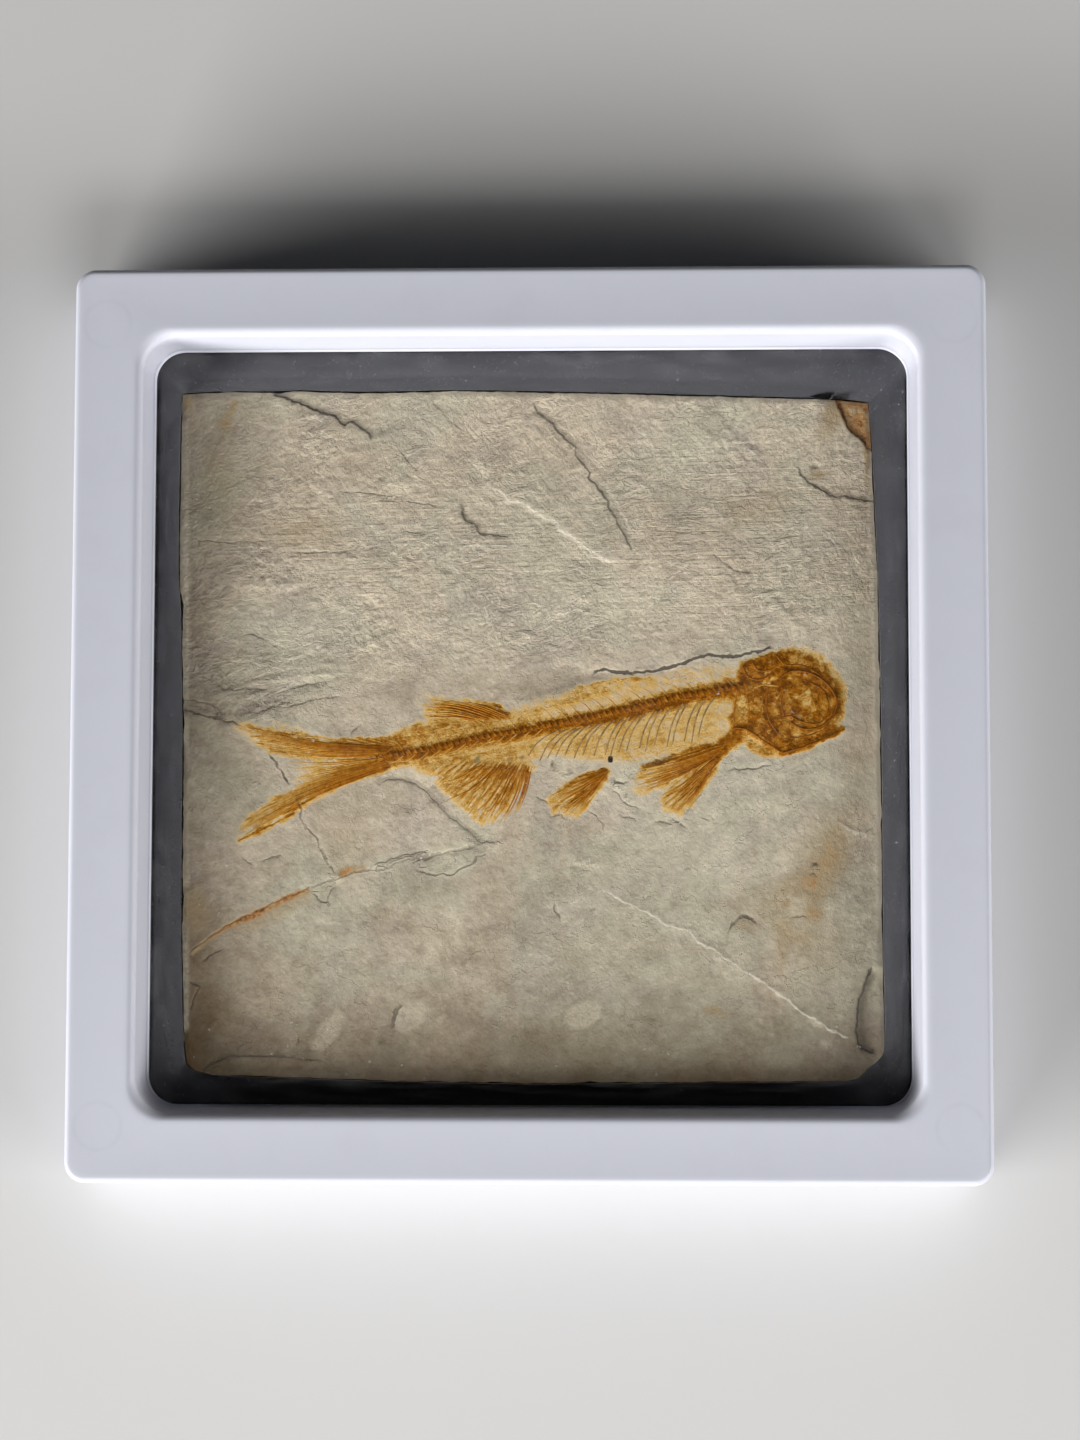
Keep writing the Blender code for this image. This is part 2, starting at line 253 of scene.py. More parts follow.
def inside(polygon: Path, x: np.ndarray, y: np.ndarray) -> np.ndarray:
    """Return the signed distance to a closed outline, positive inside it."""
    near = measure((*polygon, polygon[0]), x, y).distance
    odd = np.zeros(x.shape, dtype=bool)
    for (ax, ay), (bx, by) in zip(polygon, (*polygon[1:], polygon[0])):
        crosses = (ay > y) != (by > y)
        slope = (bx - ax) / (by - ay) if by != ay else 0.0
        odd ^= crosses & (x < ax + (y - ay) * slope)
    return np.where(odd, near, -near)


@dataclass
class Reading:
    """How a set of points lies to a path."""

    distance: np.ndarray
    side: np.ndarray
    share: np.ndarray
    length: float


def measure(path: Path, x: np.ndarray, y: np.ndarray) -> Reading:
    """Measure points against a path.

    Args:
        path: The path's points.
        x: The points' x.
        y: The points' y.

    Returns:
        Distance, signed distance (positive on the path's left), and the share of its length.
    """
    best = np.full(x.shape, np.inf)
    side = np.zeros(x.shape)
    share = np.zeros(x.shape)
    lengths = [math.dist(a, b) for a, b in zip(path, path[1:])]
    total = sum(lengths)
    travelled = 0.0
    for (ax, ay), (bx, by), length in zip(path, path[1:], lengths):
        dx, dy = bx - ax, by - ay
        t = np.clip(((x - ax) * dx + (y - ay) * dy) / (length * length), 0.0, 1.0)
        gap_x, gap_y = x - ax - t * dx, y - ay - t * dy
        distance = np.hypot(gap_x, gap_y)
        closer = distance < best
        best = np.where(closer, distance, best)
        side = np.where(closer, np.sign(dx * gap_y - dy * gap_x + 1e-12), side)
        share = np.where(closer, (travelled + t * length) / total, share)
        travelled += length
    return Reading(best, side * best, share, total)


class Noise:
    """Seeded gradient noise over the plane."""

    SIZE = 256

    def __init__(self, seed: int) -> None:
        """Draw the lattice of directions.

        Args:
            seed: Fixes the pattern.
        """
        angles = np.random.default_rng(seed).uniform(0.0, 2.0 * math.pi, (self.SIZE, self.SIZE))
        self.east, self.north = np.cos(angles), np.sin(angles)

    def __call__(self, x: np.ndarray, y: np.ndarray) -> np.ndarray:
        """Return one octave, about -0.7 to 0.7, with one feature per unit."""
        column, row = np.floor(x).astype(int), np.floor(y).astype(int)
        u, v = x - column, y - row
        total = 0.0
        for dx in (0, 1):
            for dy in (0, 1):
                i, j = (column + dx) % self.SIZE, (row + dy) % self.SIZE
                weight_x = 1.0 - np.abs(u - dx)
                weight_y = 1.0 - np.abs(v - dy)
                weight = (weight_x * weight_x * (3 - 2 * weight_x)
                          * weight_y * weight_y * (3 - 2 * weight_y))
                total = total + weight * (self.east[i, j] * (u - dx) + self.north[i, j] * (v - dy))
        return total

    def layered(self, x: np.ndarray, y: np.ndarray, octaves: int = 4,
                gain: float = 0.5) -> np.ndarray:
        """Return several octaves added up."""
        total, size = 0.0, 1.0
        for octave in range(octaves):
            step = 2.0 ** octave
            total = total + size * self(x * step + 17.3 * octave, y * step - 9.1 * octave)
            size *= gain
        return total

    def creased(self, x: np.ndarray, y: np.ndarray, octaves: int = 3) -> np.ndarray:
        """Return noise with sharp crests, 0 in the hollows to about 1 on the crests."""
        total, size, whole = 0.0, 1.0, 0.0
        for octave in range(octaves):
            step = 2.0 ** octave
            total = total + size * (1.0 - 2.0 * np.abs(self(x * step + 5.7 * octave, y * step)))
            whole += size
            size *= 0.5
        return total / whole


# ================================================================ finishes
@dataclass(frozen=True)
class MouldedPlastic:
    """Satin white plastic of the frame, with a fine skin, sink marks and a little handling dirt."""

    colour: Colour = (0.668, 0.690, 0.785)
    shadow: Colour = (0.585, 0.600, 0.700)
    roughness: float = 0.36
    skin_scale: float = 2.2
    dirt_scale: float = 0.09
    pin: Point = (83.5, 79.0)
    pin_radius: float = 4.6

    def build(self) -> bpy.types.Material:
        """Return the material."""
        shade = Shade("white_plastic_skin")
        clouds = shade.noise(self.dirt_scale, 5.0, 0.6)
        smudge = shade.remap(clouds, 0.52, 0.78)
        colour = shade.mix(shade.math("MULTIPLY", smudge, 0.35), self.colour, self.shadow)
        specks = shade.remap(shade.noise(1.6, 2.0, 0.5), 0.74, 0.80)
        colour = shade.mix(shade.math("MULTIPLY", specks, 0.25), colour, (0.42, 0.43, 0.50))
        gloss = shade.remap(clouds, 0.3, 0.7, self.roughness - 0.05, self.roughness + 0.09)
        skin = shade.noise(self.skin_scale, 3.0, 0.6)
        parts = shade.add("ShaderNodeSeparateXYZ", {0: shade.place}).outputs
        across, up = (shade.math("SUBTRACT", shade.math("ABSOLUTE", parts[axis]), place)
                      for axis, place in enumerate(self.pin))
        ring = shade.math("SUBTRACT", shade.math("SQRT", shade.math(
            "ADD", shade.math("MULTIPLY", across, across), shade.math("MULTIPLY", up, up))),
            self.pin_radius)
        ring = shade.remap(shade.math("ABSOLUTE", ring), 0.1, 0.7, 0.10, 0.0)
        colour = shade.mix(shade.math("MULTIPLY", ring, shade.remap(clouds, 0.35, 0.6)), colour,
                           (0.40, 0.42, 0.48))
        swell = shade.noise(0.05, 2.0, 0.4)
        normal = shade.bump(swell, 0.35, 0.25)
        normal = shade.bump(skin, 0.12, 0.04, normal)
        return shade.finish(Base_Color=colour, Roughness=gloss, Normal=normal,
                            Specular_IOR_Level=0.45)


@dataclass(frozen=True)
class StretchFilm:
    """Clear stretched film: plain transmission with faint drawn streaks."""

    colour: Colour = (0.985, 0.985, 0.985)
    roughness: float = 0.03
    refraction: float = 1.5
    smudge: float = 0.045
    dust: float = 0.25

    def build(self) -> bpy.types.Material:
        """Return the material."""
        shade = Shade("clear_film_skin")
        streaks = shade.noise(0.6, 2.0, 0.5, shade.stretch((0.15, 1.0, 1.0), 12.0))
        gloss = shade.remap(streaks, 0.35, 0.75, self.roughness, self.roughness + 0.06)
        normal = shade.bump(shade.noise(0.05, 1.0, 0.4), 0.15, 0.2)
        parts = shade.add("ShaderNodeSeparateXYZ", {0: shade.place}).outputs
        rim = shade.math("MAXIMUM", shade.math("ABSOLUTE", parts[0]),
                         shade.math("ABSOLUTE", parts[1]))
        smudges = shade.noise(1.0, 5.0, 0.65, shade.stretch((0.10, 0.16, 1.0), 20.0))
        haze = shade.math("MULTIPLY", shade.remap(rim, 65.0, 74.0, 0.12, 1.0),
                          shade.remap(smudges, 0.46, 0.66, 0.0, self.smudge))
        dust = shade.remap(shade.noise(1.3, 1.0, 0.4), 0.76, 0.79, 0.0, self.dust)
        clear = shade.math("SUBTRACT", 1.0, shade.math("ADD", haze, dust))
        return shade.finish(Base_Color=(*self.colour, 1.0), Roughness=gloss, Normal=normal,
                            IOR=self.refraction, Transmission_Weight=clear)


@dataclass(frozen=True)
class PaintedShadeFilm:
    """Glossy rear film, with dust that catches the light. Its near-black colour is painted shade: it
    stands in for the shaded space seen through the film.
    """

    # near-black: painted shade standing in for the shaded space behind the film
    colour: Colour = (0.006, 0.006, 0.008)
    dust: Colour = (0.10, 0.10, 0.12)

    def build(self) -> bpy.types.Material:
        """Return the material."""
        shade = Shade("dark_film_skin")
        haze = shade.remap(shade.noise(0.12, 4.0, 0.6), 0.4, 0.75)
        specks = shade.remap(shade.noise(2.6, 1.0, 0.4), 0.70, 0.76)
        colour = shade.mix(shade.math("MULTIPLY", haze, 0.06), self.colour, self.dust)
        colour = shade.mix(shade.math("MULTIPLY", specks, 0.5), colour, self.dust)
        gloss = shade.remap(haze, 0.0, 1.0, 0.14, 0.30)
        return shade.finish(Base_Color=colour, Roughness=gloss)


class Pigment(Enum):
    """Colours of the stone, of what stains it, and of painted shade and highlights."""

    SAND = (0.600, 0.510, 0.385)
    GREEN_GREY = (0.495, 0.452, 0.338)
    MAUVE_GREY = (0.475, 0.408, 0.335)
    CREAM = (0.740, 0.660, 0.500)
    CHALK = (0.870, 0.800, 0.665)
    HAZE = (0.430, 0.325, 0.185)
    CRACK = (0.045, 0.036, 0.026)
    DIRT = (0.185, 0.155, 0.112)
    OCHRE = (0.545, 0.310, 0.110)
    RUST = (0.420, 0.185, 0.065)
    RUST_DARK = (0.170, 0.080, 0.028)
    EYE_BLACK = (0.006, 0.005, 0.004)
    MOSS = (0.150, 0.125, 0.055)


# colours of the fish's stain, from the faint halo to the thickest bone
STAIN_STOPS: tuple[tuple[float, Colour], ...] = (
    (0.00, (0.640, 0.545, 0.370)), (0.10, (0.735, 0.585, 0.350)), (0.16, (0.780, 0.535, 0.245)),
    (0.27, (0.739, 0.485, 0.156)),
    (0.40, (0.653, 0.370, 0.086)), (0.55, (0.520, 0.255, 0.037)), (0.70, (0.428, 0.160, 0.008)),
    (0.85, (0.326, 0.104, 0.002)), (1.00, (0.184, 0.062, 0.002)),
)


@dataclass(frozen=True)
class Shale:
    """Split shale: cloudy greys and sand, cracks, veins, rust and the fish's stain.

    It reads what the slab keeps on its mesh: the lines' near, side, half and shown, then
    rust, pale (with painted highlights), dirt (with painted shadows), tone (with painted shade
    towards the edges), lift (painted light on crests and shade in hollows), rough, stain, ticks,
    fibrous, moss, black and flow.
    """

    roughness: float = 0.86
    tick_gap: float = 1.22

    def ground(self, shade: Shade) -> bpy.types.NodeSocket:
        """Return the bare stone's colour, with painted shade at its edges, hollows and ledges."""
        clouds = shade.noise(0.040, 4, 0.6, twist=0.6)
        drift = shade.noise(0.070, 5, 0.65, twist=0.8)
        share = shade.math("MULTIPLY_ADD", shade.value("green"), 0.5,
                           shade.remap(clouds, 0.42, 0.60, -0.2, 0.8))
        colour = shade.mix(shade.remap(share, 0.0, 1.0), Pigment.SAND.value,
                           Pigment.GREEN_GREY.value)
        colour = shade.mix(shade.remap(drift, 0.50, 0.64, 0.0, 0.6), colour,
                           Pigment.MAUVE_GREY.value)
        rulings, strokes = self.rulings(shade), self.strokes(shade)
        colour = shade.mix(shade.remap(rulings, 0.0, 0.12, 0.0, 0.6), colour, Pigment.CREAM.value)
        blots = shade.remap(shade.noise(0.20, 5, 0.66), 0.32, 0.68, -0.17, 0.17)
        blots = shade.math("ADD", blots, shade.remap(clouds, 0.35, 0.65, -0.07, 0.07))
        mottle = shade.remap(shade.noise(0.6, 6, 0.72), 0.28, 0.72, -0.12, 0.12)
        grain = shade.remap(shade.noise(2.2, 4, 0.7), 0.25, 0.75, -0.10, 0.10)
        tone = shade.math("ADD", shade.math("ADD", blots, mottle), grain)
        tone = shade.math("MULTIPLY", tone, shade.remap(shade.value("rough"), 0.0, 1.0, 1.4, 0.95))
        tone = shade.math("ADD", tone, shade.math("ADD", rulings, strokes))
        # the small ledges and sheet rims: painted light and shade, a crisp lit rise then a slowly
        # darkening fall
        tone = shade.math("MULTIPLY_ADD", self.flaky(shade), 0.07, tone)
        tone = shade.math("MULTIPLY_ADD", self.sheets(shade), 0.05, tone)
        # lift: painted light on crests and painted shade in hollows
        tone = shade.math("ADD", tone, shade.value("lift"))
        # the kept tone: random lighter and darker clouds, and painted shade towards the slab's edges
        tone = shade.math("MULTIPLY", shade.math("ADD", 1.12, tone), shade.value("tone"))
        warmth = shade.math("MULTIPLY", shade.math("SUBTRACT", 1.0, tone), 0.09)
        warmth = shade.math("MAXIMUM", warmth, -0.015)
        shadow = shade.add("ShaderNodeCombineColor", {
            0: shade.math("ADD", tone, warmth), 1: tone,
            2: shade.math("SUBTRACT", tone, warmth)}).outputs[0]
        return shade.mix(1.0, colour, shadow, "MULTIPLY")

    @staticmethod
    def rulings(shade: Shade) -> bpy.types.NodeSocket:
        """Return the long level lines of the beds, about 0 either way."""
        lines = shade.noise(1.0, 4, 0.7, shade.stretch((0.07, 1.7, 1.0), -1.5), twist=0.3)
        swing = shade.remap(lines, 0.32, 0.68, -0.07, 0.07)
        return shade.math("MULTIPLY", swing, shade.value("ruled"))

    @staticmethod
    def strokes(shade: Shade) -> bpy.types.NodeSocket:
        """Return the slanting strokes of the split, about 0 either way."""
        lines = shade.noise(0.8, 4, 0.7, shade.stretch((0.16, 1.2, 1.0), 48.0), twist=0.3)
        swing = shade.remap(lines, 0.32, 0.68, -0.06, 0.06)
        return shade.math("MULTIPLY", swing, shade.value("slanted"))

    @staticmethod
    def flaky(shade: Shade) -> bpy.types.NodeSocket:
        """Return small broken ledges, -0.5 to 0.5: a crisp rise, then a slow fall."""
        level = shade.noise(1.0, 5, 0.60, shade.stretch((0.19, 0.33, 1.0), -8.0), twist=0.6)
        patchy = shade.remap(shade.noise(0.075, 3, 0.5), 0.44, 0.58, 0.15, 1.0)
        return shade.math("MULTIPLY", Shale.ledges(shade, level, 7.0, 0.14),
                          shade.math("MULTIPLY", patchy, shade.value("rough")))

    @staticmethod
    def sheets(shade: Shade) -> bpy.types.NodeSocket:
        """Return the rims of thin split sheets, fainter where the split is rough."""
        level = shade.noise(0.055, 7, 0.66, twist=0.15)
        patchy = shade.remap(shade.noise(0.06, 3, 0.5), 0.42, 0.58, 0.1, 1.0)
        return shade.math("MULTIPLY", Shale.ledges(shade, level, 6.0, 0.04), patchy)

    @staticmethod
    def ledges(shade: Shade, level: bpy.types.NodeSocket, count: float,
               rise: float) -> bpy.types.NodeSocket:
        """Return ledges, -0.5 to 0.5: count to one unit of level, crisp over a share rise."""
        saw = shade.math("FRACT", shade.math("MULTIPLY", level, count))
        saw = shade.math("MINIMUM", shade.math("DIVIDE", saw, rise),
                         shade.math("DIVIDE", shade.math("SUBTRACT", 1.0, saw), 1.0 - rise))
        return shade.math("SUBTRACT", saw, 0.5)

    @staticmethod
    def line(shade: Shade, name: str, soft: float) -> bpy.types.NodeSocket:
        """Return a thin line's mask from its kept distances, fading over soft millimetres."""
        wander = shade.remap(shade.noise(0.9, 4, 0.65), 0.3, 0.7, -0.14, 0.14)
        side = shade.math("ABSOLUTE", shade.math("ADD", shade.value(name + "_side"), wander))
        edge = shade.math("ADD", shade.value(name + "_half"), soft)
        raw = shade.math("DIVIDE", shade.math("SUBTRACT", edge, side), soft, clamp=True)
        near = shade.remap(shade.value(name + "_near"), 0.9, 1.3, 1.0, 0.0)
        return shade.math("MULTIPLY", shade.math("MULTIPLY", raw, near),
                          shade.value(name + "_shown"))

    def build(self) -> bpy.types.Material:
        """Return the material."""
        shade = Shade("shale_and_fossil")
        colour = self.ground(shade)
        fine = shade.noise(1.1, 5, 0.7)
        speckle = shade.noise(3.0, 3, 0.65)
        # pale flakes and worn patches, and painted highlights on the bright step and along the sides
        pale = shade.math("MULTIPLY", shade.value("pale"), shade.remap(fine, 0.28, 0.62, 0.3, 1.2))
        colour = shade.mix(shade.math("MINIMUM", pale, 0.95), colour, Pigment.CREAM.value)
        # dirt, and painted shadow at the foot of the ledge over the fish's back and under a flake
        dirt = shade.math("MULTIPLY", shade.value("dirt"), shade.remap(fine, 0.32, 0.62, 0.3, 1.25))
        colour = shade.mix(shade.math("MINIMUM", dirt, 0.92), colour, Pigment.DIRT.value)
        rust = shade.math("MULTIPLY", shade.value("rust"), shade.remap(fine, 0.3, 0.64, 0.4, 1.3))
        colour = shade.mix(shade.remap(rust, 0.0, 0.30, 0.0, 0.85), colour, Pigment.HAZE.value)
        colour = shade.mix(shade.remap(rust, 0.34, 0.62, 0.0, 0.85), colour, Pigment.OCHRE.value)
        colour = shade.mix(shade.remap(rust, 0.5, 0.85), colour, Pigment.RUST.value)
        colour = shade.mix(shade.remap(rust, 0.8, 1.1), colour, Pigment.RUST_DARK.value)
        # pale veins, and painted highlights along broken edges (the glints)
        vein = shade.math("MULTIPLY", self.line(shade, "vein", 0.15),
                          shade.remap(fine, 0.36, 0.56, 0.35, 1.0))
        colour = shade.mix(vein, colour, Pigment.CHALK.value)
        stain = self.stain(shade)
        colour = shade.mix(shade.remap(stain, 0.0, 0.22), colour,
                           shade.ramp(stain, STAIN_STOPS))
        moss = shade.math("MULTIPLY", shade.value("moss"), shade.remap(speckle, 0.3, 0.7, 0.8, 1.1))
        colour = shade.mix(shade.math("MINIMUM", moss, 0.92), colour, Pigment.MOSS.value)
        # dark cracks; along the step over the fish's back this line is painted shadow
        crack = self.line(shade, "crack", 0.16)
        broken = shade.remap(shade.noise(0.30, 4, 0.65), 0.36, 0.54, 0.55, 1.0)
        crack = shade.math("MULTIPLY", crack, broken, clamp=True)
        colour = shade.mix(shade.math("MULTIPLY", crack, 0.9), colour, Pigment.CRACK.value)
        black = shade.remap(shade.value("black"), 0.35, 0.65)
        colour = shade.mix(black, colour, Pigment.EYE_BLACK.value)
        gloss = shade.remap(stain, 0.1, 0.9, self.roughness, 0.60)
        rough = shade.math("MAXIMUM", shade.value("pocked"), shade.remap(stain, 0.3, 0.8, 0.0, 0.5))
        grain = shade.remap(shade.value("rough"), 0.0, 1.0, 0.36, 1.0)
        rough = shade.math("MAXIMUM", grain, shade.remap(rough, 0.0, 1.0, 0.5, 1.7))
        grit = shade.math("MULTIPLY", shade.noise(0.8, 5, 0.62, shade.stretch((1, 1, 1), 33.0)), rough)
        lines = shade.math("ADD", self.rulings(shade), self.strokes(shade))
        wrinkles = shade.math("MULTIPLY_ADD", lines, 1.6, grit)
        wrinkles = shade.math("MULTIPLY_ADD", self.flaky(shade), 0.36, wrinkles)
        wrinkles = shade.math("MULTIPLY_ADD", self.sheets(shade), 0.25, wrinkles)
        normal = shade.bump(wrinkles, 1.0, 0.42)
        normal = shade.bump(speckle, 0.5, 0.08, normal)
        normal = shade.bump(crack, 0.8, -0.22, normal)
        sheen = shade.remap(stain, 0.1, 0.6, 0.25, 0.04)
        return shade.finish(Base_Color=colour, Roughness=gloss, Normal=normal,
                            Specular_IOR_Level=sheen)

    def stain(self, shade: Shade) -> bpy.types.NodeSocket:
        """Return how thick the fish's stain is, broken into fibres, ticks and blotches."""
        flow = shade.vector("flow")
        fibrous = shade.value("fibrous")
        fibre = shade.noise(1.0, 4, 0.6, shade.add(
            "ShaderNodeMapping", {"Vector": flow, "Scale": (0.22, 2.0, 1.0)}).outputs[0])
        fibre = shade.math("MULTIPLY", shade.remap(fibre, 0.30, 0.70, -0.48, 0.44), fibrous)
        blotch = shade.remap(shade.noise(0.62, 5, 0.62), 0.30, 0.70, -0.36, 0.36)
        curl = shade.noise(0.9, 3, 0.6, twist=1.6)
        curl = shade.remap(shade.math("ABSOLUTE", shade.math("SUBTRACT", curl, 0.5)),
                           0.0, 0.06, 0.16, -0.04)
        broken = shade.math("ADD", blotch, curl)
        loose = shade.math("MULTIPLY", broken, shade.remap(fibrous, 0.0, 0.5, 1.5, 0.7))
        base = shade.value("stain")
        room = shade.remap(base, 0.05, 0.50, 0.10, 1.0)
        speck = shade.remap(shade.noise(2.2, 4, 0.7), 0.28, 0.72, -0.13, 0.13)
        loose = shade.math("ADD", loose, speck)
        loose = shade.math("MINIMUM", shade.math("MAXIMUM", loose, -0.18), 0.26)
        stain = shade.math("MULTIPLY_ADD", shade.math("ADD", fibre, loose), room, base)
        stain = shade.math("MULTIPLY", stain, shade.remap(base, 0.0, 0.06))
        parts = shade.add("ShaderNodeSeparateXYZ", {0: flow}).outputs
        beat = shade.math("MULTIPLY_ADD", parts[1], -0.55, parts[0])
        beat = shade.math("FRACT", shade.math("DIVIDE", beat, self.tick_gap))
        beat = shade.remap(shade.math("ABSOLUTE", shade.math("SUBTRACT", beat, 0.5)), 0.08, 0.2,
                           1.0, 0.0)
        ticks = shade.math("MULTIPLY", shade.math("MULTIPLY", beat, shade.value("ticks")),
                           shade.remap(blotch, -0.1, 0.1, 0.3, 0.8))
        return shade.math("MULTIPLY_ADD", ticks, -0.14, stain)


@dataclass(frozen=True)
class FossilBone:
    """Brown fossil bone, darker where it is thick, read from each bone's own tone."""

    roughness: float = 0.58

    def build(self) -> bpy.types.Material:
        """Return the material."""
        shade = Shade("fossil_bone")
        tone = shade.value("bone_tone")
        patches = shade.remap(shade.noise(0.9, 5.0, 0.65), 0.28, 0.72, -0.18, 0.18)
        grain = shade.remap(shade.noise(3.5, 3.0, 0.6), 0.3, 0.7, -0.10, 0.10)
        thickness = shade.math("ADD", shade.math("ADD", tone, patches), grain)
        colour = shade.ramp(thickness, STAIN_STOPS)
        normal = shade.bump(shade.noise(2.4, 4.0, 0.65), 0.35, 0.10)
        return shade.finish(Base_Color=colour, Roughness=self.roughness, Normal=normal,
                            Specular_IOR_Level=0.12)


@dataclass(frozen=True)
class RibBone:
    """Thin olive-brown ribs, like fine pencil lines pressed into the stone."""

    colour: Colour = (0.230, 0.150, 0.055)
    light: Colour = (0.480, 0.320, 0.140)

    def build(self) -> bpy.types.Material:
        """Return the material."""
        shade = Shade("rib_bone")
        wear = shade.remap(shade.noise(0.7, 4.0, 0.6), 0.38, 0.66)
        colour = shade.mix(wear, self.colour, self.light)
        normal = shade.bump(shade.noise(3.0, 3.0, 0.6), 0.25, 0.06)
        return shade.finish(Base_Color=colour, Roughness=0.7, Normal=normal,
                            Specular_IOR_Level=0.03)


@dataclass(frozen=True)
class StudioFloor:
    """Plain pale floor."""

    colour: Colour = (0.70, 0.70, 0.70)

    def build(self) -> bpy.types.Material:
        """Return the material."""
        shade = Shade("studio_floor")
        tint = shade.remap(shade.noise(0.01, 3.0, 0.5), 0.3, 0.7, 0.0, 0.12)
        colour = shade.mix(tint, self.colour, (0.62, 0.62, 0.63))
        return shade.finish(Base_Color=colour, Roughness=0.8, Specular_IOR_Level=0.2)


# ================================================================ frame and films
def square_ring(half: float, radius: float, z: float, arc_steps: int,
                side_steps: int) -> np.ndarray:
    """Return one closed square ring of points with rounded corners.

    Args:
        half: Half the square's width.
        radius: Plan radius of the corners.
        z: The ring's level.
        arc_steps: Steps round each corner.
        side_steps: Steps along each straight side.

    Returns:
        Rows of x, y, z, counter-clockwise from the lower left corner.
    """
    arcs = []
    for index, (east, north) in enumerate(((-1, -1), (1, -1), (1, 1), (-1, 1))):
        angles = math.pi * (1 + index / 2) + np.linspace(0.0, math.pi / 2, arc_steps + 1)
        arcs.append(np.column_stack((east * (half - radius) + radius * np.cos(angles),
                                     north * (half - radius) + radius * np.sin(angles))))
    parts = []
    for arc, after in zip(arcs, (*arcs[1:], arcs[0])):
        shares = np.linspace(0.0, 1.0, side_steps + 1)[1:-1, None]
        parts += [arc, arc[-1] + shares * (after[0] - arc[-1])]
    flat = np.vstack(parts)
    return np.column_stack((flat, np.full(len(flat), z)))


def loft(rings: Sequence[np.ndarray], closed: bool) -> tuple[np.ndarray, list[tuple[int, ...]]]:
    """Join rings of equal length with quads.

    Args:
        rings: The rings, each with the same number of points.
        closed: Whether the last ring joins the first one; otherwise both ends get a cap.

    Returns:
        Points and faces.
    """
    count = len(rings[0])
    faces: list[tuple[int, ...]] = []
    for index in range(len(rings) if closed else len(rings) - 1):
        low, high = index * count, (index + 1) % len(rings) * count
        for spot in range(count):
            after = (spot + 1) % count
            faces.append((low + spot, low + after, high + after, high + spot))
    if not closed:
        faces.append(tuple(range(count - 1, -1, -1)))
        last = (len(rings) - 1) * count
        faces.append(tuple(range(last, last + count)))
    return np.vstack(rings), faces


def face_outwards(item: bpy.types.Object, smooth_angle: float | None = None) -> None:
    """Turn a closed mesh's faces outwards, and keep edges sharper than smooth_angle crisp."""
    bm = bmesh.new()
    bm.from_mesh(item.data)
    bmesh.ops.recalc_face_normals(bm, faces=bm.faces)
    bm.to_mesh(item.data)
    bm.free()
    if smooth_angle is not None:
        item.data.set_sharp_from_angle(angle=math.radians(smooth_angle))


@dataclass(frozen=True)
class ShellSpec:
    """Where one shell of the frame lies."""

    node: str
    face_z: float
    lip_z: float


class Shell(Enum):
    """The frame's two shells."""

    FRONT = ShellSpec("frame_front", 20.0, 9.15)
    BACK = ShellSpec("frame_back", 0.0, 8.85)


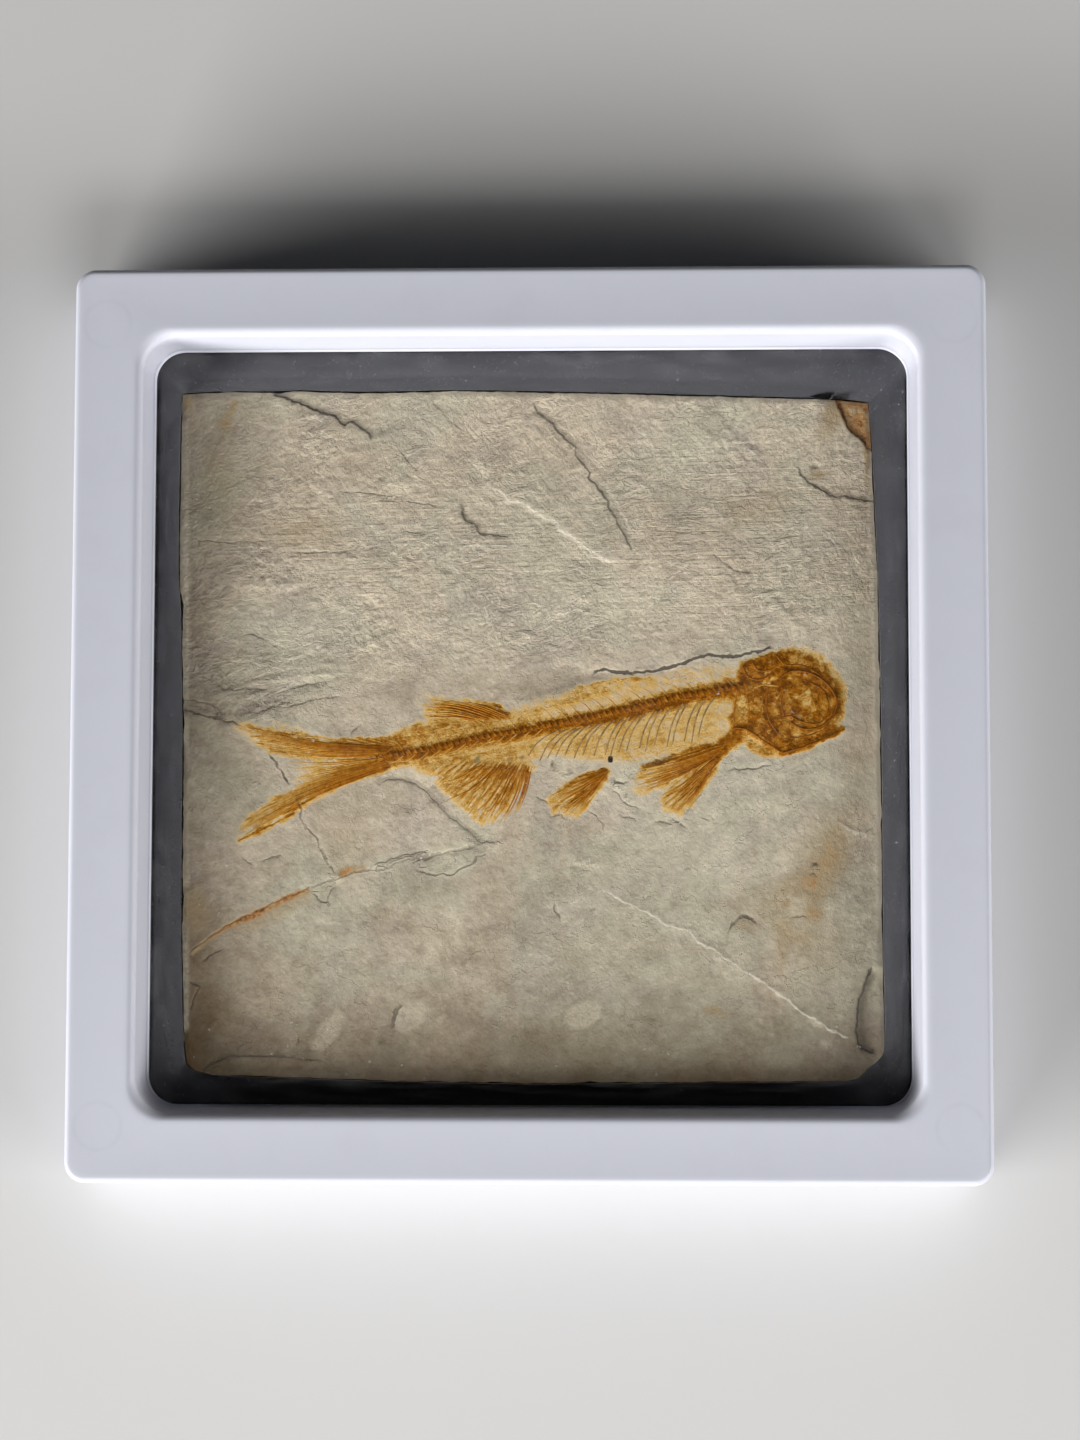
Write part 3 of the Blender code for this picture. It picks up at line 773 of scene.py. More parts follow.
@dataclass
class DisplayFrame:
    """The two white shells that clamp the films."""

    half: float = 90.0
    outer_corner: float = 4.0
    edge_round: float = 1.2
    mouth_round: float = 1.8
    border_half: float = 78.2
    mouth_corner: float = 7.0
    opening_half: float = 75.05
    opening_corner: float = 5.9
    rebate_half: float = 83.0
    rebate_depth: float = 0.55
    seam_round: float = 0.3
    lip_round: float = 0.45
    crown: float = 0.10
    edge_steps: int = 9
    arc_steps: int = 16
    side_steps: int = 6

    def profile(self, spec: ShellSpec) -> list[tuple[float, float, float]]:
        """Return a shell's section from the seam, over the face and down into the opening.

        Args:
            spec: The shell's levels.

        Returns:
            Rows of half width, corner radius and z.
        """
        up = 1.0 if spec.face_z > spec.lip_z else -1.0
        turns = np.linspace(0.0, math.pi / 2, self.edge_steps + 1)
        small = np.linspace(0.0, math.pi / 2, 4)
        rows = [(self.half - self.seam_round * (1 - math.sin(a)),
                 self.outer_corner - self.seam_round * (1 - math.sin(a)),
                 spec.lip_z + up * self.seam_round * (1 - math.cos(a))) for a in small]
        for angle in turns:
            inset = self.edge_round * (1 - math.cos(angle))
            rows.append((self.half - inset, self.outer_corner - inset,
                         spec.face_z - up * self.edge_round * (1 - math.sin(angle))))
        for share in (0.06, 0.2, 0.5, 0.8, 0.94):
            flat = self.half - self.edge_round
            dish = self.crown * math.sin(math.pi * share)
            corner = self.outer_corner - self.edge_round
            rows.append((flat + (self.border_half - flat) * share,
                         corner + (self.mouth_corner - corner) * share, spec.face_z - up * dish))
        for angle in turns:
            rows.append((self.border_half - self.mouth_round * math.sin(angle), self.mouth_corner,
                         spec.face_z - up * self.mouth_round * (1 - math.cos(angle))))
        rebate_z = spec.lip_z + up * self.rebate_depth
        rows += self.wall(rows[-1], rebate_z, up)
        rows.append((self.rebate_half, self.outer_corner, rebate_z))
        rows.append((self.rebate_half, self.outer_corner, spec.lip_z))
        return rows

    def wall(self, top: tuple[float, float, float], rebate_z: float,
             up: float) -> list[tuple[float, float, float]]:
        """Return the drafted inner wall and the small foot that presses on the film.

        Args:
            top: The section's row at the wall's top.
            rebate_z: The wall's end.
            up: +1 where the shell stands above its lip, -1 where it hangs below.

        Returns:
            Rows of half width, corner radius and z.
        """
        foot = rebate_z + up * self.lip_round * 2.0
        rows = []
        for share in (0.25, 0.5, 0.75, 0.92):
            reach = share * (1.0 - 0.12 * (1.0 - share))
            rows.append((top[0] + (self.opening_half + 0.12 - top[0]) * reach,
                         top[1] + (self.opening_corner - top[1]) * share,
                         top[2] + (foot - top[2]) * share))
        for angle in np.linspace(-math.pi / 2, math.pi / 2, 7):
            rows.append((self.opening_half + self.lip_round * (1 - math.cos(angle)),
                         self.opening_corner,
                         rebate_z + up * self.lip_round * (1 - math.sin(angle))))
        return rows

    def build(self, shell: Shell, material: bpy.types.Material) -> bpy.types.Object:
        """Build one shell and stand it in for its CAD node.

        Args:
            shell: Which shell.
            material: Its finish.

        Returns:
            The shell.
        """
        spec = shell.value
        rings = [square_ring(half, radius, z, self.arc_steps, self.side_steps)
                 for half, radius, z in self.profile(spec)]
        points, faces = loft(rings, closed=True)
        item = add_mesh(spec.node + "_shell", points, faces, material)
        face_outwards(item, 40.0)
        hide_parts(spec.node)
        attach(item, ROOT)
        return item


@dataclass(frozen=True)
class FilmSpec:
    """Where one film runs: its lower skin's levels at the frame and over the slab."""

    node: str
    slot: str
    rim_z: float
    contact_z: float


class Film(Enum):
    """The two stretched films."""

    FRONT = FilmSpec("film_front", "clear_film", 9.15, 12.74)
    BACK = FilmSpec("film_back", "dark_film", 8.60, 4.95)


@dataclass
class StretchedFilm:
    """A film clamped at its rim and stretched over the slab."""

    rim_half: float = 82.0
    rim_corner: float = 3.0
    frame_half: float = 74.75
    frame_corner: float = 5.9
    thickness: float = 0.25
    outline: Path = ()
    margin: float = 0.12
    sag: float = 1.4
    arc_steps: int = 16
    side_steps: int = 40
    slope_steps: int = 12
    crease: float = 12.0

    def skin(self, spec: FilmSpec, lift: float) -> list[np.ndarray]:
        """Return the rings of one skin, from the rim inwards.

        Args:
            spec: The film's levels.
            lift: How far this skin lies above the lower one.

        Returns:
            Rings of points.
        """
        rim, start = (square_ring(half, corner, spec.rim_z + lift, self.arc_steps, self.side_steps)
                      for half, corner in ((self.rim_half, self.rim_corner),
                                           (self.frame_half, self.frame_corner)))
        rings = [rim]
        stop = self.contact(start, spec.contact_z + lift)
        for step in range(self.slope_steps + 1):
            share = math.sin(0.5 * math.pi * step / self.slope_steps)
            ring = start + (stop - start) * share
            ring[:, 2] = start[:, 2] + (stop[:, 2] - start[:, 2]) * share ** self.sag
            ring[:, 2] += self.ripple(ring, share)
            rings.append(ring)
        flat = stop.copy()
        middle = flat.mean(axis=0)
        for reach in (0.985, 0.95, 0.8, 0.45):
            inner = middle + (flat - middle) * reach
            inner[:, 2] = flat[:, 2]
            rings.append(inner)
        return rings

    def contact(self, start: np.ndarray, z: float) -> np.ndarray:
        """Return where the film meets the slab's edge, straight inwards from each start."""
        spots = np.array((*self.outline, self.outline[0]))
        fine = np.linspace(0, len(spots) - 1, 40 * len(spots))
        x, y = (np.interp(fine, np.arange(len(spots)), spots[:, axis]) for axis in (0, 1))
        order = np.argsort(np.arctan2(y, x))
        angles = np.arctan2(start[:, 1], start[:, 0])
        reach = np.interp(angles, np.arctan2(y, x)[order], (np.hypot(x, y) + self.margin)[order],
                          period=2 * math.pi)
        reach = (np.roll(reach, 1) + 2 * reach + np.roll(reach, -1)) / 4
        return np.column_stack((reach * np.cos(angles), reach * np.sin(angles),
                                np.full(len(start), z)))

    @staticmethod
    def ripple(ring: np.ndarray, share: float) -> np.ndarray:
        """Return the small ripples of tension, strongest half way down near the corners."""
        x, y = ring[:, 0], ring[:, 1]
        near_corner = np.minimum(np.abs(x), np.abs(y)) / np.maximum(np.abs(x), np.abs(y))
        angle = np.arctan2(y, x)
        swell = np.sin(angle * 46.0) * smoothstep(0.72, 0.98, near_corner)
        waver = np.sin(angle * 9.0 + 0.8) * 0.6
        return 0.035 * math.sin(math.pi * share) * (swell + waver)

    def build(self, film: Film, material: bpy.types.Material) -> bpy.types.Object:
        """Build one film and stand it in for its CAD node.

        Args:
            film: Which film.
            material: Its finish.

        Returns:
            The film.
        """
        spec = film.value
        rings = self.skin(spec, 0.0)[::-1] + self.skin(spec, self.thickness)
        points, faces = loft(rings, closed=False)
        item = add_mesh(spec.node + "_skin", points, faces, material)
        face_outwards(item, 50.0)
        item.data.set_sharp_from_angle(angle=math.radians(self.crease))
        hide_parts(spec.node)
        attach(item, ROOT)
        return item


# ================================================================ marks on the stone
class Mark:
    """Something drawn on the stone, along or around the points of its path."""

    path: Path

    def reach(self) -> float:
        """Return how far the mark spreads from its points."""
        raise NotImplementedError

    def cover(self, x: np.ndarray, y: np.ndarray) -> np.ndarray:
        """Return how strongly the mark covers each point."""
        raise NotImplementedError

    def near(self, x: np.ndarray, y: np.ndarray) -> np.ndarray:
        """Return which points the mark can touch."""
        east, north = np.array(self.path).T
        reach = self.reach()
        return ((x > east.min() - reach) & (x < east.max() + reach)
                & (y > north.min() - reach) & (y < north.max() + reach))


@dataclass(frozen=True)
class Stroke(Mark):
    """A soft line: its half widths and strengths are spread along it."""

    path: Path
    half_widths: tuple[float, ...]
    strengths: tuple[float, ...] = (1,)
    soft: float = 0.5

    def reach(self) -> float:
        """Return how far the line spreads."""
        return max(self.half_widths) * (1 + self.soft) + 0.8

    def cover(self, x: np.ndarray, y: np.ndarray) -> np.ndarray:
        """Return how strongly the line covers each point."""
        reading = measure(rounded(self.path), x, y)
        width = spread(self.half_widths, reading.share)
        fade = np.maximum(width * self.soft, 0.12)
        edge = smoothstep(0, 1, (reading.distance - width + fade) / (2 * fade))
        return spread(self.strengths, reading.share) * (1 - edge)


@dataclass(frozen=True)
class Patch(Mark):
    """A soft-edged area."""

    path: Path
    strength: float = 1.0
    soft: float = 0.7

    def reach(self) -> float:
        """Return how far the area spreads."""
        return self.soft + 0.1

    def cover(self, x: np.ndarray, y: np.ndarray) -> np.ndarray:
        """Return how strongly the area covers each point."""
        return self.strength * smoothstep(-self.soft, self.soft, inside(self.path, x, y))


@dataclass(frozen=True)
class Spot(Mark):
    """A soft-edged oval: centre, half sizes, turn in degrees."""

    centre: Point
    half: Point
    turn: float = 0.0
    strength: float = 1.0
    soft: float = 0.4

    @property
    def path(self) -> Path:
        """Return the oval's centre."""
        return (self.centre,)

    def reach(self) -> float:
        """Return how far the oval spreads."""
        return max(self.half) * (1 + self.soft)

    def radius(self, x: np.ndarray, y: np.ndarray) -> np.ndarray:
        """Return each point's place in the oval, 0 at its centre and 1 on its edge."""
        along, across = turned(x - self.centre[0], y - self.centre[1], self.turn)
        return np.hypot(along / self.half[0], across / self.half[1])

    def cover(self, x: np.ndarray, y: np.ndarray) -> np.ndarray:
        """Return how strongly the oval covers each point."""
        return self.strength * (1 - smoothstep(1 - self.soft, 1 + self.soft, self.radius(x, y)))

    def dome(self, x: np.ndarray, y: np.ndarray) -> np.ndarray:
        """Return a rounded dome of the oval's strength in height."""
        return self.strength * np.sqrt(np.clip(1 - self.radius(x, y) ** 2, 0, 1))


Layer = tuple[float, Mark]


def spread(values: tuple[float, ...], share: np.ndarray) -> np.ndarray:
    """Return values spread evenly along a path, at each share of its length."""
    return np.interp(share, np.linspace(0, 1, len(values)), values)


def turned(x: np.ndarray, y: np.ndarray, turn: float) -> tuple[np.ndarray, np.ndarray]:
    """Return the points' places along and across a direction, in degrees."""
    angle = math.radians(turn)
    return x * math.cos(angle) + y * math.sin(angle), y * math.cos(angle) - x * math.sin(angle)


def painted(layers: Sequence[Layer], x: np.ndarray, y: np.ndarray) -> np.ndarray:
    """Return the depth of colour once each (depth, mark) is laid over the ones before it."""
    value = np.zeros(x.shape)
    for depth, mark in layers:
        near = mark.near(x, y)
        cover = np.clip(mark.cover(x[near], y[near]), 0, 1)
        value[near] += cover * (depth - value[near])
    return value


def covered(marks: Sequence[Mark], x: np.ndarray, y: np.ndarray) -> np.ndarray:
    """Return how strongly marks laid over each other cover each point, 0 to 1."""
    return painted([(1.0, mark) for mark in marks], x, y)


@dataclass(frozen=True)
class Break:
    """A broken bed edge: the path's left side stands rise higher, fading over fade."""

    path: Path
    rise: float
    fade: float = 6.0
    crisp: float = 0.3
    dark: float = 1.0
    half_line: float = 0.12


@dataclass(frozen=True)
class Crack:
    """A thin open crack: a dark line with a shallow groove."""

    path: Path
    dark: float = 0.6
    half_line: float = 0.10


@dataclass
class StoneSurface:
    """Relief and marks of the split face, all in the plane of the slab."""

    level: float = 12.0
    limit: float = 0.44
    wander: float = 0.45
    breaks: tuple[Break, ...] = (
        # upper left corner
        Break(((-52, 66.6), (-48.7, 65.3), (-46, 64.2), (-43, 63), (-41, 62.2), (-39, 62),
               (-38, 60.5), (-37, 60), (-35.5, 60.4), (-34, 59.5), (-32, 58), (-31.3, 56.3)),
              -0.42, 9, 0.3, 0.9, 0.17),
        # upper middle, falling to the right
        Break(((0.2, 64.6), (1, 63.5), (1.5, 62.2), (4.5, 60), (6, 58), (9, 55.2), (9.5, 53),
               (12.2, 50.3), (11.7, 49), (14, 46.8), (15.7, 43.5), (17.5, 40), (20, 35.5),
               (20.5, 34.2)), -0.26, 6, 0.3, 0.7),
        # bright step that faces the light
        Break(((-13, 54), (-10, 50.7), (-7.5, 49)), 0.26, 4, 0.3, 0),
        Break(((-9.3, 47.8), (-8, 47.7), (-6, 45.7), (-4, 44), (-2.5, 44.3), (-1, 43.5),
               (1.5, 41.7), (4, 41), (6, 39), (7, 37.8), (9, 37), (10, 36), (12.5, 34),
               (15, 32.5), (17, 32)), 0.30, 6, 0.28, 0),
        Break(((-13.3, 44), (-13.3, 42), (-12.5, 40.5), (-10.5, 39.5), (-9.8, 37.8),
               (-6, 37.5), (-3.5, 37.2)), -0.22, 4, 0.3, 0.75),
        Break(((-20, 65.5), (-18, 63), (-15.5, 60.2), (-13, 58.5)), -0.2, 3, 0.3, 0.3),
        # right edge
        Break(((52.5, 51.5), (53.5, 50.3), (55, 48.2), (56.5, 47.3), (58.5, 46), (60, 45.2),
               (62, 44.9), (63, 45.3), (64, 44.8), (66.5, 44.3), (69, 44)), -0.26, 6, 0.3, 0.75),
        Break(((60.6, 66), (61, 64), (62.5, 60.5), (64, 58), (66, 56.5), (67, 55), (69, 53.5)),
              -0.34, 6, 0.3, 1),
        # over the fish's back; its dark line is painted shadow at the foot of the step
        Break(((12.6, 9.6), (13, 10.5), (15, 10.8), (16, 10.4), (18, 10), (22, 10.2),
               (25, 10.6), (28, 11.2), (31, 12.0), (33, 13.0), (35.5, 13.8), (36.5, 13.4),
               (40, 13.2), (44, 13.9), (46.6, 14.6), (48.4, 15.4)), 0.36, 5, 0.26, 1.7, 0.17),
        # behind the tail
        Break(((-51.8, -5.4), (-49.5, -8.7), (-47.3, -12.4)), 0.20, 3, 0.3, 0.9, 0.14),
        Break(((-46.4, -14), (-45.2, -16.7), (-45, -19), (-43.5, -21), (-42, -22.5),
               (-41, -25), (-38, -30)), 0.14, 3, 0.32, 0.6),
        # under the belly
        Break(((-30, -12.4), (-28, -11), (-25, -11), (-22, -12), (-19.5, -14.4),
               (-16, -18), (-13, -20.3), (-11, -22.2), (-10, -23.3), (-7.5, -23.5),
               (-6, -23), (-4.5, -24)), -0.20, 5, 0.3, 0.4, 0.08),
        # rust vein's bed edge, then the lens flake
        Break(((-67.5, -45.3), (-60, -40), (-53, -36.8), (-47.5, -34), (-43.5, -32.5),
               (-38, -30.6), (-33, -29), (-29, -28.9), (-25, -27), (-20, -26), (-10, -24)),
              0.20, 6, 0.34, 0.5),
        Break(((-22.5, -28.8), (-20, -29.6), (-15, -30), (-13, -28.4), (-11.5, -28),
               (-10, -26.5), (-8, -25.3)), 0.20, 3, 0.3, 0.65),
        # chipped lower corners
        Break(((67.5, -47.3), (66.3, -50), (65, -53.5), (64.4, -57), (64.2, -60),
               (64.3, -62.5), (65.3, -63.8), (67, -64.5), (68.5, -65.2)), -0.7, 7, 0.3, 0.85),
        Break(((-64.5, -69.5), (-64, -68), (-61.5, -66.5), (-59, -65.5), (-50, -65.4),
               (-40, -66.6)), -0.22, 3.5, 0.34, 0.35),
        Break(((-67.6, -50.5), (-65, -52), (-66, -54), (-67, -57)), -0.25, 3, 0.3, 0.6),
    )
    cracks: tuple[Crack, ...] = (
        Crack(((-12.2, 45.5), (-12.3, 44)), 0.8), Crack(((12.5, 28), (14, 27.8), (15.5, 27.3)), 0.7),
        Crack(((-38, 46.5), (-33, 46.3), (-30, 45.6), (-25, 45.4)), 0.6, 0.07),
        Crack(((-31, 44.6), (-24, 44.4), (-18, 43.4)), 0.5, 0.07),
        Crack(((-26, 38.6), (-21, 38)), 0.5, 0.06),
        Crack(((-68, 37), (-60, 36.2), (-52, 36.6)), 0.4, 0.07),
        Crack(((-26, 55), (-24, 52.4), (-22, 50)), 0.5, 0.08),
        Crack(((24, 38.6), (30, 38), (38, 38.4)), 0.4, 0.07),
        Crack(((36, 34), (40, 31), (42, 29.6)), 0.5, 0.08), Crack(((50.5, 15.3), (51.2, 14.5))),
        Crack(((-48, 34.4), (-42, 34.2), (-35, 34.4)), 0.4), Crack(((48.5, 17.5), (47.5, 18.5))),
        Crack(((-58, 17.6), (-55.5, 18.1), (-51.5, 16.4)), 0.5),
        Crack(((-62.5, 8.6), (-61, 6.9), (-56, 7), (-52, 6.8)), 0.5),
        Crack(((-50, 6), (-46, 7.6), (-40, 8.6)), 0.45),
        Crack(((-48, 3.6), (-43, 4.9), (-37, 5.6)), 0.5),
        Crack(((-57, 2.2), (-53, 2.6), (-46, 5.2)), 0.5),
        Crack(((-35.4, -2.6), (-34.8, -1.2), (-33.4, 0)), 0.8),
        Crack(((-2, 4.5), (-0.5, 5.8)), 0.5),
        Crack(((16.5, -10.2), (17, -11.5), (18.5, -11.8), (20, -11.2)), 0.7),
        Crack(((16, -12.5), (17.6, -14), (19.5, -16), (22.5, -17)), 0.5),
        Crack(((1, -14), (4, -16)), 0.5), Crack(((4.2, -18.8), (6.4, -17.2)), 0.7),
        Crack(((30.8, -17.8), (32.5, -15.4), (35, -12.4)), 0.35),
        Crack(((28, -18.5), (31.5, -21)), 0.5),
        Crack(((17.7, -18.2), (19.5, -18.5), (21.8, -19.4)), 0.5),
        Crack(((24.5, -19.4), (26.5, -19.4), (29, -20.3)), 0.5),
        Crack(((33.8, -18.3), (35, -19.1), (36, -19.4)), 0.5),
        Crack(((11.5, -17), (13.6, -18.3), (14.6, -20), (14.8, -21.6)), 0.5),
        Crack(((5.6, -17.4), (7.6, -19)), 0.5), Crack(((-31, -28), (-25, -26), (-19, -25)), 0.5, 0.08),
        Crack(((-24.5, -54.6), (-26, -57), (-27, -60.6)), 0.7, 0.14),
        Crack(((39.5, -41.5), (39.8, -39.8), (41, -38.6), (43, -38), (44.6, -39), (45.6, -40.4)),
              0.7, 0.12),
        Crack(((55.2, -28.2), (56.4, -27.6), (57.6, -28)), 0.9, 0.2),
        Crack(((54.6, -30), (56, -29.6), (57, -30.4)), 0.6, 0.12),
        Crack(((40.4, -23.4), (42.6, -23.8)), 0.5),
        Crack(((51, -38.6), (53.4, -37.8), (55, -38.2)), 0.5),
        Crack(((39, -9.2), (44, -9), (48.5, -7.8)), 0.6),
        Crack(((-23, -27.5), (-16, -25.3), (-10, -24.2))),
        Crack(((-43, -33), (-41.5, -34.5), (-40, -35.5), (-39, -33), (-38, -31.8)), 0.7),
        Crack(((-57, -26.5), (-54, -28)), 0.5),
        Crack(((-53.5, -27.3), (-51, -26.4), (-48.5, -26)), 0.5),
        Crack(((-41, -24), (-40.6, -26), (-39.5, -28)), 0.5), Crack(((-33, -38.8), (-31.5, -39.3))),
        Crack(((-64.8, -47.3), (-62, -45.2), (-60, -44)), 0.5),
        Crack(((4.8, -35), (5.2, -37), (6.5, -39))),
        Crack(((-45, -61), (-45.5, -64)), 0.7), Crack(((-27, -60), (-26.5, -57), (-25.5, -55))),
        Crack(((40.5, -39.5), (41.5, -37.8), (43, -38), (45, -39.8)), 0.7),
        Crack(((67.8, -33), (67.9, -33.8), (68.5, -34)), 0.8),
        Crack(((-69, 3), (-64, 1.6), (-60, 0.6), (-57, -0.2)), 0.7, 0.16),
        Crack(((-69, 5), (-63, 4), (-60.5, 1.6)), 0.5),
    )
    vein: Path = ((14, -32.5), (17, -34.3), (20, -35.7), (23.5, -37.5), (27, -39.6), (31.5, -41),
                  (33.5, -43.3), (37, -45), (40, -47.5), (45, -50.3), (48, -52.5), (51, -54.5),
                  (53, -56.5), (56.5, -58.5), (59, -60.3), (63, -62))
    small_vein: Path = ((60, -19.5), (63.5, -21.2), (67, -22.5))
    # painted highlights along broken edges: path, half width, strength
    glints: tuple[tuple[Path, float, float], ...] = (
        (((-13.5, 54.3), (-10.4, 51), (-7.7, 49.1)), 0.1, 0.6),
        (((-8.8, 48), (-6.4, 46.6), (-3.7, 44.1), (-1.6, 44.2), (2.1, 41.6), (5.3, 39.9),
          (6.4, 38.2), (9, 36.9), (9.9, 35.6), (12.6, 34.2), (15.4, 32.1), (17.4, 32.1)), 0.12, 0.9),
        (((-3.7, 48.2), (-2.2, 46.5), (0.4, 45.7)), 0.14, 0.7),
        (((-38.2, 23.8), (-36, 22.6), (-34, 20.7)), 0.2, 0.9),
        (((-52.7, 27.9), (-48, 27.8)), 0.14, 0.7),
        (((-61, 35.7), (-50, 34.9), (-34, 34.1)), 0.09, 0.6),
        (((-14, 35.6), (-5, 35.4), (2.7, 34)), 0.1, 0.6),
        (((-15, 33.6), (-4, 33.2)), 0.08, 0.6), (((6, 30.7), (12, 30.6)), 0.12, 0.6),
        (((38.3, 51.3), (41, 48.4), (43.7, 46.5)), 0.12, 0.7),
        (((35, 45.2), (37, 42), (38.9, 39.8)), 0.1, 0.6),
        (((56.2, 38.8), (59.4, 36.8), (62.3, 34)), 0.16, 0.8),
        (((38, 56), (40.2, 54), (41.2, 53.4)), 0.16, 0.8),
        (((41.6, 55.6), (43.4, 54.6), (44.8, 53)), 0.16, 0.8),
        (((20, 60), (23, 57), (25, 54.2)), 0.12, 0.6),
        (((24, 61), (27, 57.6)), 0.09, 0.5), (((-57, 43.4), (-55, 45), (-52.6, 44.2)), 0.13, 0.7),
        (((-60, 39.6), (-55, 39), (-52, 38.4)), 0.08, 0.5),
        (((-46.6, 61), (-43, 61.4), (-40.4, 60.4)), 0.2, 0.7),
        (((-40.4, 60.4), (-42, 57), (-42.6, 54.6)), 0.16, 0.5),
        (((-23, 62), (-20, 59), (-17.4, 57)), 0.1, 0.5),
        (((14, 49), (17.6, 43.4), (20.4, 38)), 0.1, 0.6),
        (((22, 32), (30, 31.2), (38, 31.4)), 0.07, 0.5),
        (((16, 26.6), (26, 26.2), (34, 26.8)), 0.07, 0.5), (((46, 47.6), (50, 47), (53, 45)), 0.1, 0.5),
        (((-21, 21), (-14, 20.4), (-8, 21)), 0.1, 0.5), (((23, 20), (24.6, 20.6)), 0.2, 0.8),
        (((-60, 24), (-56, 21), (-52, 19.6)), 0.08, 0.5),
        (((-49, 12), (-44, 14), (-40, 16.4)), 0.1, 0.5),
        (((4.5, 26.5), (8, 26)), 0.08, 0.5), (((-34, 29.4), (-28, 29), (-22, 27.4)), 0.08, 0.45),
        (((60, -19), (64, -21.6), (68, -23)), 0.12, 0.6),
        (((44, 18.6), (47.4, 18.6), (48.4, 17)), 0.12, 0.6),
    )
    flakes: tuple[Patch, ...] = (
        Patch(((-43, -64), (-41, -59.5), (-37.5, -56), (-36, -58), (-37.5, -61.5), (-40.5, -64.5)),
              0.1, 0.35),
        Patch(((-26.8, -59.5), (-26.3, -57), (-25.3, -55), (-21, -54.5), (-20, -57),
               (-20.8, -59.6), (-24, -61.5)), 0.1, 0.35),
        Patch(((6.6, -58.5), (8, -55.6), (11.5, -54), (14.5, -55), (14, -58), (11.5, -60.2),
               (8, -60.4)), 0.12, 0.3),
        Patch(((5.2, -35.2), (5.4, -37.2), (6.8, -39), (9.6, -38.6), (10, -36), (8, -34.4)),
              -0.1, 0.35),
        Patch(((-48, 46), (-47, 52), (-43.5, 58.5), (-39, 60.8), (-37.2, 57), (-40, 52.5),
               (-43.5, 47)), 0.12, 0.4),
        Patch(((51.5, -34.5), (53.5, -33), (56.2, -34), (56.6, -37.5), (54.5, -39.5),
               (51.8, -38)), 0.1, 0.4),
        Patch(((-36, -30.5), (-33, -30), (-30.4, -31.5), (-30.8, -35), (-34, -37),
               (-37, -34.5)), 0.08, 0.45),
    )
    pits: tuple[Spot, ...] = (
        Spot((-61.5, 1.8), (0.8, 0.6), 0, 0.16), Spot((-29.5, 49), (0.7, 0.5), 0, 0.16),
        Spot((-29, 46.5), (0.5, 0.4), 0, 0.12), Spot((56.5, 51), (0.7, 0.5), 0, 0.14),
        Spot((9, -28.5), (0.8, 0.5), 0, 0.12), Spot((-28.8, -62.7), (0.6, 0.5), 0, 0.16),
        Spot((4.3, -47.3), (0.5, 0.4), 0, 0.1), Spot((-43, -64.5), (0.7, 0.5), 0, 0.12),
        Spot((31.3, -28.8), (0.5, 0.4), 0, 0.1), Spot((12.5, -36.7), (0.5, 0.4), 0, 0.1),
        Spot((-21, -59.6), (0.5, 0.4), 0, 0.1), Spot((-67.5, -32), (0.8, 0.7), 0, 0.2),
        Spot((-68, -2), (0.8, 1.6), 0, 0.2), Spot((-68.2, -9.5), (0.7, 1.2), 0, 0.2),
    )
    lumps: tuple[Spot, ...] = (
        Spot((37.5, -46), (1.1, 0.8), -35, 0.14), Spot((49, -53), (1, 0.7), -35, 0.14),
        Spot((56.5, -58.5), (1.3, 0.8), -35, 0.16), Spot((-37.5, -30.5), (1.4, 1), 30, 0.18),
        Spot((12.8, -27.8), (1.4, 0.8), 10, 0.14), Spot((54, -46.5), (1, 0.8), 0, 0.14),
        Spot((48, -43.3), (1.1, 0.6), 0, 0.14), Spot((7, -38.2), (1.2, 0.8), 30, 0.12),
        Spot((-38, 24), (2.4, 0.6), -40, 0.16), Spot((-54, 38), (3.6, 0.7), -25, 0.12),
        Spot((-49.5, 28.2), (3.8, 0.6), -12, 0.12), Spot((0, 17.5), (2.6, 0.5), -6, 0.12),
        Spot((38, 56), (7, 3.4), -30, 0.1), Spot((59.5, 35.5), (4.4, 0.6), -38, 0.12),
        Spot((40.5, 57.4), (3.2, 0.5), -38, 0.12), Spot((42.5, 55), (3.4, 0.5), -30, 0.11),
        Spot((-50.5, 41), (2.8, 0.6), -18, 0.1), Spot((-44, 24.5), (3.4, 0.6), -20, 0.1),
        Spot((-52, 31), (3, 0.5), -8, 0.12), Spot((-55, 36.5), (2.4, 0.4), 6, 0.1),
        Spot((-53, 33.2), (2.6, 0.4), -10, 0.1), Spot((28, 51), (3, 0.5), -45, 0.11),
        Spot((22, 57), (2.6, 0.5), -48, 0.11), Spot((-22, 58), (2.4, 0.5), -50, 0.12),
        Spot((-16, 62), (2.2, 0.5), -52, 0.12), Spot((4, 45.5), (2, 0.5), -40, 0.14),
    )

    def __post_init__(self) -> None:
        """Draw the seeded patterns that the methods share."""
        self.broad, self.crumple, self.grain = Noise(11), Noise(29), Noise(47)

    def shifted(self, x: np.ndarray, y: np.ndarray) -> tuple[np.ndarray, np.ndarray]:
        """Return the points moved a little, so that every drawn line looks broken."""
        east = self.crumple.layered(x * 0.62, y * 0.62, 3, 0.6)
        north = self.crumple.layered(x * 0.62 + 71, y * 0.62 + 33, 3, 0.6)
        return x + self.wander * east, y + self.wander * north

    @staticmethod
    def tapered(reading: Reading, length: float = 2.2) -> np.ndarray:
        """Return 1 along a path, easing to 0 over the last millimetres at its ends."""
        travelled = reading.share * reading.length
        return (smoothstep(0, length, travelled)
                * smoothstep(0, length, reading.length - travelled))

    @staticmethod
    def stepped(level: np.ndarray, crisp: float) -> np.ndarray:
        """Return a small crisp rise at every whole level, with slow falls between."""
        share = level - np.floor(level)
        return smoothstep(0.5 - crisp, 0.5 + crisp, share) - share

